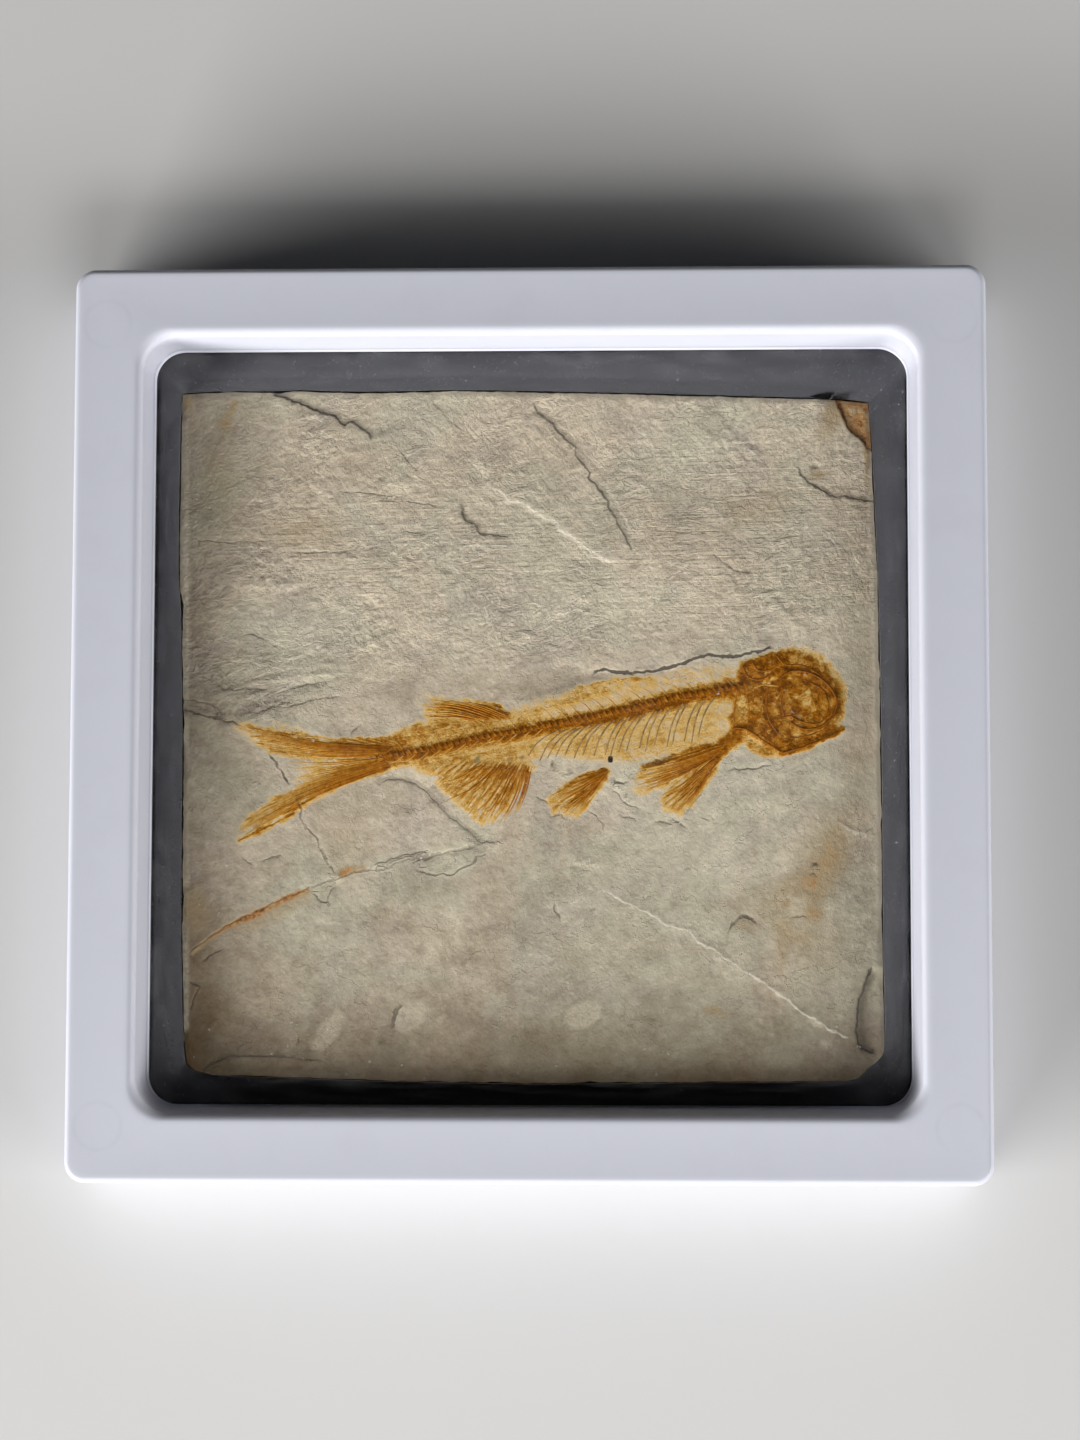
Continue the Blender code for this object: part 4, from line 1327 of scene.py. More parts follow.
    def beds(self, x: np.ndarray, y: np.ndarray) -> np.ndarray:
        """Return the height of the broken beds."""
        height = np.zeros(x.shape)
        for edge in self.breaks:
            reading = measure(edge.path, x, y)
            raised = smoothstep(-edge.crisp, edge.crisp, reading.side)
            height += (edge.rise * np.exp(-(reading.distance / edge.fade) ** 2)
                       * raised * self.tapered(reading))
        for patch in self.flakes:
            height += patch.cover(x, y)
        return height

    def textures(self, x: np.ndarray, y: np.ndarray) -> dict[str, np.ndarray]:
        """Return how rough, ruled and slanted the split is at each point, 0 to 1."""
        drift = 2.5 * self.broad(x * 0.08, y * 0.08)
        rough = smoothstep(5, 19, y - 0.1 * x + drift)
        rough = rough * (1 - 0.45 * Spot((-62, 56), (12, 12), 0, 1, 0.5).cover(x, y))
        rough = rough * (1 - 0.55 * Spot((-50, 21), (14, 6), 0, 1, 0.6).cover(x, y))
        folded = Spot((-49, 7), (15, 5.5), 15, 1, 0.5).cover(x, y)
        rough = np.maximum(rough, 0.9 * folded)
        ruled = covered((Spot((42, 38), (32, 20), 0, 1, 0.5), Spot((-24, 36), (38, 11), 0, 0.9, 0.5)),
                        x, y)
        slanted = covered((Spot((4, 52), (27, 15), -24, 1, 0.5), Spot((45, 44), (20, 7), -42, 0.7, 0.6)),
                          x, y)
        pocked = covered((Spot((-44, 53), (4.5, 8), -35, 1, 0.5), Spot((-52, 30), (7, 6), 0, 1, 0.6),
                          Spot((-33, 19), (7, 5), -30, 1, 0.6), Spot((-18, 29), (14, 5), -8, 0.6, 0.7),
                          Spot((42, 54), (6, 3), -30, 0.8, 0.6), Spot((48, 28), (16, 7), -20, 0.7, 0.7),
                          Spot((-28, 48), (5, 3), 0, 0.8, 0.6)), x, y)
        return {"rough": rough, "ruled": ruled * rough, "slanted": slanted * rough,
                "pocked": pocked * rough, "folded": folded}

    def texture(self, x: np.ndarray, y: np.ndarray) -> np.ndarray:
        """Return the small ledges, folds and lumps of the split."""
        fields = self.textures(x, y)
        rough, slanted, pocked = fields["rough"], fields["slanted"], fields["pocked"]
        slow_x = x + 5 * self.broad.layered(x * 0.09 + 9, y * 0.09, 2)
        slow_y = y + 5 * self.broad.layered(x * 0.09, y * 0.09 + 7, 2)
        along, across = turned(slow_x, slow_y, -46)
        slants = self.crumple.creased(along * 0.1, across * 0.42, 3) - 0.72
        slant_steps = self.stepped(5 * self.broad.layered(along * 0.04, across * 0.13, 4, 0.6), 0.1)
        along, across = turned(slow_x, slow_y, -5)
        level_steps = self.stepped(5 * self.broad.layered(along * 0.035 + 5, across * 0.12, 4, 0.6), 0.1)
        folds_along, folds_across = turned(x, y, 17)
        folds = self.crumple.creased(folds_along * 0.08 + 40, folds_across * 0.42, 3) - 0.72
        lumpy = self.grain.layered(x * 0.45, y * 0.45, 4, 0.62)
        ledges = slant_steps * slanted + level_steps * (1 - slanted)
        return (rough * (0.15 * ledges + 0.2 * slants * slanted) + 0.02 * level_steps
                + 0.32 * folds * fields["folded"] + (0.04 + 0.05 * rough + 0.22 * pocked) * lumpy
                + 0.06 * self.broad.layered(x * 0.14 + 5, y * 0.14, 3))

    def cavity_shade(self, x: np.ndarray, y: np.ndarray, gap: float = 0.55) -> np.ndarray:
        """Return painted light and shade: lighter where a point stands proud of its surroundings, darker
        where it lies lower.
        """
        around = sum(self.texture(x + gap * dx, y + gap * dy)
                     for dx, dy in ((1, 0), (-1, 0), (0, 1), (0, -1)))
        return np.clip(1.6 * (self.texture(x, y) - around / 4) / gap, -0.13, 0.11)

    def grooves(self, x: np.ndarray, y: np.ndarray) -> np.ndarray:
        """Return the shallow grooves, veins, pits and lumps."""
        height = np.zeros(x.shape)
        for crack in self.cracks:
            reading = measure(crack.path, x, y)
            height -= 0.09 * np.exp(-(reading.distance / 0.38) ** 2) * self.tapered(reading, 1.2)
        for path in (self.vein, self.small_vein):
            reading = measure(path, x, y)
            height += 0.1 * np.exp(-(reading.distance / 0.5) ** 2) * self.tapered(reading)
        for pit in self.pits:
            height -= pit.cover(x, y)
        for lump in self.lumps:
            height += lump.dome(x, y)
        return height

    def relief(self, x: np.ndarray, y: np.ndarray, swelling: np.ndarray) -> np.ndarray:
        """Return how far the split face stands above its level.

        Args:
            x: The points' x.
            y: The points' y.
            swelling: What the fish adds at the points.

        Returns:
            Heights, none above the limit.
        """
        moved_x, moved_y = self.shifted(x, y)
        height = (0.08 * np.sin(x / 17 + 0.6) * np.cos(y / 13) + 0.035 * np.sin(x / 5 + y / 4))
        height += self.beds(moved_x, moved_y) + self.grooves(moved_x, moved_y)
        height += self.texture(x, y) + swelling
        sharp = 24.0
        return self.limit - np.logaddexp(0, (self.limit - height) * sharp) / sharp

    def line_fields(self, x: np.ndarray, y: np.ndarray) -> dict[str, np.ndarray]:
        """Return what draws the dark lines, the pale veins and the painted highlights along broken edges.

        Args:
            x: The points' x.
            y: The points' y.

        Returns:
            For crack and for vein: the nearest line's distance, signed distance, half width
            and strength.
        """
        x, y = self.shifted(x, y)
        dark = [(edge.path, edge.half_line, edge.dark) for edge in self.breaks if edge.dark > 0]
        dark += [(crack.path, crack.half_line, crack.dark) for crack in self.cracks]
        pale = [(self.vein, 0.12, 0.9), (self.small_vein, 0.1, 0.7), *self.glints]
        fields: dict[str, np.ndarray] = {}
        for name, lines in (("crack", dark), ("vein", pale)):
            near = np.full(x.shape, 99.0)
            side, half, shown = near.copy(), np.full(x.shape, 0.1), np.zeros(x.shape)
            for path, half_line, strength in lines:
                reading = measure(path, x, y)
                closer = reading.distance < near
                near = np.where(closer, reading.distance, near)
                side = np.where(closer, reading.side, side)
                half = np.where(closer, half_line, half)
                shown = np.where(closer, strength * self.tapered(reading, 1.5), shown)
            fields.update({name + "_near": near, name + "_side": side, name + "_half": half,
                           name + "_shown": shown})
        return fields


@dataclass
class StoneColours:
    """Where the bare stone is rusty, pale, dirty, or lighter and darker."""

    rust: tuple[Mark, ...] = (
        # upper right corner
        Patch(((60.8, 66.5), (61.2, 64), (62.7, 60.5), (64.2, 58), (66, 56.5), (67.2, 55),
               (69.5, 54), (69.5, 67)), 0.58, 0.5),
        Stroke(((61, 65), (62.5, 60.7), (64, 58.2), (66, 56.6), (67, 55)), (0.4,), (0.95,)),
        Spot((65.4, 59.5), (1.4, 0.9), -50, 0.6), Spot((66.8, 63.5), (1.2, 2.4), 20, 0.35, 0.8),
        Stroke(((66.6, 57), (67, 53.5), (66.8, 50), (67, 46.5)), (0.7, 0.5, 0.4), (0.5, 0.4, 0.2)),
        Spot((60.2, 61.5), (2.0, 4.5), -25, 0.34, 0.8), Spot((57, 49.5), (1.6, 0.9), 0, 0.3, 0.6),
        # upper left corner and left edge
        Stroke(((-59, 64.5), (-60.2, 62), (-60.8, 59.5)), (0.6, 0.9, 1.4), (0.38, 0.3, 0.2), 0.9),
        Spot((-61.2, 60.2), (1, 0.7), 20, 0.3), Spot((-68.6, 64.4), (1, 1.6), 0, 0.36, 0.7),
        Spot((-62, 50), (3, 6), 0, 0.14, 0.9), Spot((-66, -37), (2.6, 4), 10, 0.36, 0.9),
        Spot((-69, -20), (1.6, 14), 0, 0.14, 0.8),
        # rust vein
        Stroke(((-67.5, -45.6), (-66, -45.1), (-63.5, -42.9), (-60, -40.4), (-57.5, -39.2),
                (-55, -38.2), (-53, -37.2), (-50, -35.7), (-47.5, -34.4), (-45, -33.4),
                (-43.5, -32.9)), (0.25, 0.3, 0.4, 0.5, 0.7, 0.5, 0.6, 0.35),
               (0.5, 0.6, 0.7, 0.85, 0.95, 0.7, 0.9, 0.6)),
        Stroke(((-58, -40.4), (-54, -39), (-50, -37.2), (-44, -34.2)), (1.2, 1.6, 1.2),
               (0.18, 0.26, 0.2), 0.9),
        Spot((-36.4, -29.4), (1.2, 0.8), 35, 0.8, 0.6), Spot((-34.2, -28.9), (2, 0.6), 12, 0.45, 0.6),
        Spot((-37, -24), (5, 5), 0, 0.1, 0.9),
        # lower right
        Spot((52.5, -31.5), (3.4, 2.2), 20, 0.24, 0.7), Spot((57, -27.6), (4.4, 5), -30, 0.18, 0.9),
        Spot((55, -31.6), (1.6, 1), 20, 0.2, 0.7), Spot((47, -36), (5, 4), 0, 0.14, 0.9),
        Spot((55, -42), (6, 8), 0, 0.12, 0.9), Spot((60, -21), (5, 5), -20, 0.12, 0.9),
        Stroke(((61, -20), (59.4, -26), (56.8, -32), (55.8, -37)), (1.4, 2.6, 1.4),
               (0.16, 0.3, 0.24), 0.9),
        Spot((56, -37.6), (1.4, 1.4), 10, 0.26, 0.8), Spot((50.4, -35.6), (1.2, 0.9), 0, 0.24, 0.8),
        Stroke(((49.6, -40), (49.8, -44), (49, -48.5)), (1.6, 1.4, 1.2), (0.2, 0.2, 0.12), 0.9),
        Spot((53.2, -42.4), (2, 1.4), 0, 0.2, 0.9), Spot((42.3, -39.8), (2, 1), -10, 0.2, 0.8),
        Stroke(((34.5, -56.2), (36.5, -56.5), (38.5, -57.3)), (0.5, 0.6, 0.4), (0.3, 0.4, 0.2), 0.9),
        # warm haze
        Spot((66, -2), (4, 20), 0, 0.1, 0.9), Spot((44, 42), (5, 3), 0, 0.14, 0.9),
        Spot((-44, 38), (7, 4), 0, 0.12, 0.9), Spot((50, 46), (4, 2.5), 0, 0.12, 0.9),
        Spot((0, -64), (26, 4), 0, 0.06, 0.9),
    )
    # pale flakes and worn patches, and painted highlights on lit edges
    pale: tuple[Mark, ...] = (
        Patch(((-43, -64), (-41, -59.5), (-37.5, -56), (-35.6, -58), (-37.5, -61.5),
               (-40.5, -64.5)), 0.42, 0.5),
        Patch(((-26.5, -59.5), (-26, -57), (-25, -55), (-21, -54.5), (-20, -57), (-20.8, -59.6),
               (-24, -61)), 0.45, 0.5),
        Patch(((6.8, -58.5), (8.2, -55.8), (11.5, -54.2), (14.5, -55), (14, -58), (11.5, -60),
               (8.2, -60.2)), 0.5, 0.45),
        Spot((7, -38.4), (1.5, 0.8), 30, 0.5, 0.6), Spot((12.8, -27.8), (1.8, 1), 10, 0.6),
        Spot((-37.5, -30.9), (1, 0.7), 20, 0.7), Spot((-33, -32.5), (3.4, 3.2), 0, 0.5),
        Spot((52.6, -36), (3.4, 1.8), -10, 0.55), Spot((53.4, -41.4), (1.6, 1.8), 0, 0.35, 0.7),
        Spot((64.5, -27), (0.6, 0.5), 0, 0.8), Spot((66, -38), (0.9, 0.7), 0, 0.5),
        Spot((11.4, -27.7), (2.6, 0.5), 4, 0.7, 0.7), Spot((58, -63), (1.2, 0.9), 0, 0.4),
        Spot((-14, -37), (7, 2.6), 0, 0.25, 0.8), Spot((14, -43), (6, 3), 0, 0.22, 0.8),
        Spot((-3, -27), (4, 2.4), 0, 0.25, 0.8), Spot((30, -25), (7, 4), 0, 0.2, 0.8),
        Stroke(((5.6, -36.4), (6.6, -39), (8.6, -39.6), (10.6, -38.8)), (0.25,), (0.8,)),
        Spot((54, -46.5), (1, 0.8), 0, 0.5),
        Spot((48, -43.2), (1.1, 0.6), 0, 0.5), Spot((37.5, -46), (1.3, 0.8), -35, 0.5),
        Spot((49, -53), (1.4, 0.8), -35, 0.45), Spot((56.5, -58.5), (2, 1), -40, 0.5),
        Spot((61.5, -57.5), (3.2, 5), 0, 0.16, 0.9), Spot((-43.5, 55.5), (5, 4.2), 45, 0.2, 0.8),
        # painted highlight along the bright step that faces the lamps
        Stroke(((-9.3, 47.4), (-4, 43.4), (4, 40.4), (9, 36.2), (17, 31.4)), (0.5, 0.8, 0.5),
               (0.3, 0.4, 0.2), 0.9),
        Stroke(((-57.4, -0.6), (-54.6, -2.6), (-52.4, -4.6)), (0.3, 0.4, 0.3), (0.9, 1, 0.7)),
        # pale rims along the right and left sides: partly worn stone, partly painted highlight of the lit
        # rims
        Stroke(((67.6, 62), (68.4, 30), (68.9, 0), (69, -40)), (0.9,), (0.8, 0.5, 0.8, 0.6, 0.4)),
        Stroke(((-69.2, 60), (-68.6, 20), (-68.2, -20), (-67.8, -60)), (0.8,), (0.4, 0.7, 0.5, 0.7)),
        Spot((-38, -14.5), (8, 5), -20, 0.16, 0.9), Spot((-24, -9.6), (5, 1), 10, 0.5, 0.9),
        Spot((24, 14), (14, 2), 8, 0.2, 0.9), Spot((4, -12), (5, 3), 0, 0.25, 0.9),
        Stroke(((-56, 66), (-45, 66.1), (-25, 65.7), (0, 65.6), (14, 65.2)), (0.45,),
               (0.4, 0.9, 0.5, 0.7, 0.3)),
    )
    # dark dirt marks, and painted shadows at the foot of a ledge and a flake
    dirt: tuple[Mark, ...] = (
        Spot((-61.5, 1.8), (0.9, 0.7), 0, 0.9), Spot((-67, 2.5), (2.4, 1.2), 0, 0.5),
        Stroke(((-69, 3.2), (-62, 2), (-56, 2.2), (-50, 4), (-42, 8.5)), (0.9, 1.4, 1.2, 0.8),
               (0.45, 0.45, 0.3, 0.1), 0.9),
        Stroke(((-69, 6), (-64, 6.4), (-60, 7.4), (-56, 7)), (1.4, 2, 1.2), (0.35, 0.42, 0.15), 0.9),
        Stroke(((-58, 1.2), (-54, 3.8), (-50.5, 4.4)), (0.3, 0.5, 0.3), (0.5,)),
        Spot((56.5, 51), (0.8, 0.6), 0, 0.6), Spot((-29.3, 49), (0.9, 0.5), 0, 0.5),
        Spot((57, -27.8), (1, 0.8), 0, 0.3), Spot((9, -28.5), (1, 0.5), 0, 0.5),
        Spot((-28.8, -62.7), (0.8, 0.6), 0, 0.8), Spot((-43, -64.5), (0.9, 0.6), 0, 0.6),
        Spot((4.3, -47.3), (0.6, 0.4), 0, 0.6), Spot((-21, -59.6), (0.5, 0.4), 0, 0.6),
        Spot((31.3, -28.8), (0.6, 0.4), 0, 0.6), Spot((12.5, -36.7), (0.5, 0.4), 0, 0.6),
        # painted shadow along the flake's lower edge
        Stroke(((6.8, -58.8), (8.2, -60.4), (11.5, -60.4), (14.2, -58.2)), (0.3,), (0.35,)),
        Stroke(((-68.9, -4), (-68.5, -8), (-68.4, -14)), (0.4, 0.5, 0.4), (0.6, 0.8, 0.4)),
        Stroke(((-13.5, 44.5), (-13.4, 41.5), (-10.5, 39)), (0.4, 0.5, 0.3), (0.4,)),
        # painted shadow under the ledge over the fish's back (this stroke and the next)
        Stroke(((0, 4.6), (5, 6.2), (10, 8), (14, 8.8), (20, 9.4), (26, 9.8)), (0.9, 1.2, 0.8),
               (0.15, 0.3, 0.34, 0.3, 0.2), 0.9),
        Stroke(((31, 12.6), (33, 13.6), (36, 14)), (0.5, 0.8, 0.4), (0.3,), 0.9),
    )
    tones: tuple[Spot, ...] = (
        Spot((36, 40), (17, 12), 0, -0.09, 0.8), Spot((44, 54), (20, 11), 0, 0.1, 0.8),
        Spot((-5, -38), (8, 6), 20, -0.12, 0.8), Spot((6, -24), (13, 5), 0, -0.07, 0.8),
        Spot((14, -45), (8, 4), 0, -0.09, 0.8), Spot((-62, -1), (9, 10), 0, -0.09, 0.8),
        Spot((-40, -62), (14, 5), 0, -0.05, 0.8), Spot((-58, 48), (9, 12), 0, -0.06, 0.8),
        Spot((-35, 50), (5, 5), 0, -0.1, 0.8), Spot((20, 27), (22, 7), -6, 0.05, 0.8),
        Spot((-50, 22), (13, 7), 0, 0.05, 0.8), Spot((-57, -12), (8, 9), 0, -0.11, 0.8),
        Spot((-20, -19), (10, 6), 0, 0.04, 0.8), Spot((36, -22), (14, 7), 0, 0.05, 0.8),
        Spot((-28, -38), (6, 4), 20, -0.06, 0.8), Spot((16, 17), (20, 3), 8, -0.05, 0.8),
        Spot((61, -27), (4, 8), -20, -0.1, 0.8),
        Spot((-10, -54), (8, 5), 0, -0.05, 0.8), Spot((30, -57), (10, 4), 0, -0.04, 0.8),
        Spot((-50, -54), (8, 6), 0, 0.04, 0.8), Spot((-25, 42), (8, 8), 0, 0.04, 0.8),
        Spot((-68, 14), (2.5, 20), 0, -0.1, 0.7), Spot((45, -48), (6, 5), 0, 0.05, 0.8),
        Spot((20, 28), (20, 8), -4, 0.06, 0.8), Spot((-10, 20), (44, 7), 0, 0.09, 0.6),
        Spot((-24, 5), (24, 6), 10, -0.14, 0.7), Spot((-40, -15), (8, 5), -20, -0.18, 0.7),
        Spot((1, -16), (4, 4), 0, -0.1, 0.7), Spot((3, 7), (8, 2.8), 14, -0.2, 0.7),
        Spot((-22, -32), (7, 3), 15, -0.14, 0.7),
        Spot((-7.5, -43), (6.4, 2.4), 35, -0.13, 0.6), Spot((6, -32.5), (5, 2.5), 10, -0.12, 0.6),
        Spot((3, -61.5), (6, 3), 20, -0.14, 0.7), Spot((23, -46), (4, 1.6), -20, -0.1, 0.6),
        Spot((4, -24.5), (4, 2), 0, -0.08, 0.7), Spot((43, -42), (4, 4), 0, -0.12, 0.7),
        Spot((-12, -38), (8, 3), 0, 0.07, 0.7), Spot((14, -44), (6, 4), 0, 0.07, 0.7),
        Spot((-32, -66), (5, 3), 0, -0.14, 0.7), Spot((37, -67), (6, 3), 0, -0.14, 0.7),
        Spot((12, -19.5), (5, 3), 0, -0.07, 0.5), Spot((30, -21), (5, 1.6), -10, -0.07, 0.6),
        # painted shade in the lower left corner, where two walls of the frame shade the stone
        Spot((-70, -64), (8, 24), 0, -0.5, 0.8), Spot((-60, -58), (12, 16), 0, -0.2, 0.9),
    )
    green: tuple[Spot, ...] = (
        Spot((0, -52), (84, 26), 0, 0.9, 0.5), Spot((44, 54), (24, 10), 0, 0.8, 0.7),
        Spot((-60, 52), (14, 16), 0, 0.7, 0.8), Spot((50, -10), (14, 14), 0, 0.6, 0.7),
        Spot((-50, 20), (10, 8), 0, 0.5, 0.8),
    )
    # painted shade towards the stone's edges, where the frame's walls shade it: place, tone
    up_shade: Path = ((-70, 0.30), (-68, 0.38), (-66, 0.54), (-62, 0.62), (-58, 0.70), (-56, 0.75),
                      (-50, 0.87), (-44, 0.90), (-36, 0.92), (-26, 0.96), (-16, 1.0))
    across_shade: Path = ((-69, 0.62), (-66, 0.72), (-62, 0.80), (-58, 0.87), (-54, 0.92),
                          (-48, 0.98), (-42, 1.0), (56, 1.0), (62, 0.94), (66, 0.89))

    def fields(self, x: np.ndarray, y: np.ndarray) -> dict[str, np.ndarray]:
        """Return rust, pale marks with painted highlights, dirt with painted shadows, green, and tone
        with painted shade towards the edges, at each point.
        """
        tone = np.interp(y, *zip(*self.up_shade)) * np.interp(x, *zip(*self.across_shade))
        for spot in self.tones:
            tone = tone * (1 + spot.cover(x, y))
        return {"rust": covered(self.rust, x, y), "pale": covered(self.pale, x, y),
                "dirt": covered(self.dirt, x, y), "green": covered(self.green, x, y),
                "tone": tone}


# ================================================================ fish
@dataclass(frozen=True)
class Fan:
    """Fin rays that spread from a root: each ray runs from its root to its tip.

    A fan's fill is how deep its colour is between the rays, at the root and at the tips.
    """

    name: str
    roots: Path
    tips: Path
    bow: float
    outline: Path
    fill: tuple[float, float]
    rays: int
    tone: float = 0.9
    split_from: float = 0.5
    half_width: float = 0.16

    def ray(self, share: float) -> Path:
        """Return one ray's path at a share of the way across the fan."""
        root, tip = self.at(self.roots, share), self.at(self.tips, share)
        dx, dy = tip[0] - root[0], tip[1] - root[1]
        middle = (root[0] + 0.5 * dx - self.bow * dy, root[1] + 0.5 * dy + self.bow * dx)
        return rounded((root, middle, tip), 5)

    @staticmethod
    def at(path: Path, share: float) -> Point:
        """Return the point at a share of a path's points."""
        places = np.linspace(0, 1, len(path))
        return (float(np.interp(share, places, [spot[0] for spot in path])),
                float(np.interp(share, places, [spot[1] for spot in path])))

    def apex(self) -> tuple[Point, float, float]:
        """Return where the rays would meet, its distance to the root and the rays' length."""
        root, tip = self.at(self.roots, 0.5), self.at(self.tips, 0.5)
        length = math.dist(root, tip)
        reach = math.dist(self.roots[0], self.roots[-1]) / math.dist(self.at(self.tips, 0),
                                                                     self.at(self.tips, 1))
        back = length * reach / (1 - min(reach, 0.8))
        return ((root[0] + (root[0] - tip[0]) / length * back,
                 root[1] + (root[1] - tip[1]) / length * back), back, length)

    def polar(self, x: np.ndarray, y: np.ndarray) -> tuple[np.ndarray, np.ndarray]:
        """Return each point's place along and across the rays, in millimetres."""
        (apex_x, apex_y), back, length = self.apex()
        angle = np.arctan2(apex_y - y, apex_x - x)
        return np.hypot(x - apex_x, y - apex_y), angle * (back + 0.6 * length)

    def layers(self) -> list[Layer]:
        """Return the fan's fill: deep at the root, paler towards the tips."""
        root, tip = self.fill
        return [(tip + (root - tip) * share, Fill(self, 1.25 - share, 0.95))
                for share in (0, 0.33, 0.66, 1)]


@dataclass(frozen=True)
class Fill(Mark):
    """The stain between a fan's rays, up to a share of their length, with ragged tips."""

    fan: Fan
    extent: float
    strength: float

    @property
    def path(self) -> Path:
        """Return the fan's outline."""
        return self.fan.outline

    def reach(self) -> float:
        """Return how far the fill spreads past the outline."""
        return 1.5

    def cover(self, x: np.ndarray, y: np.ndarray) -> np.ndarray:
        """Return how strongly the fill covers each point."""
        along, across = self.fan.polar(x, y)
        _, back, length = self.fan.apex()
        share = (along - back) / length
        ray = Noise(61).layered(along * 0.1, across * 0.9, 3, 0.7)
        edge = inside(self.fan.outline, x, y) + 1.5 * ray * smoothstep(0.3, 0.9, share)
        stop = 1 - smoothstep(self.extent - 0.3, self.extent + 0.15, share + 0.25 * ray)
        return self.strength * smoothstep(-0.8, 0.8, edge) * stop


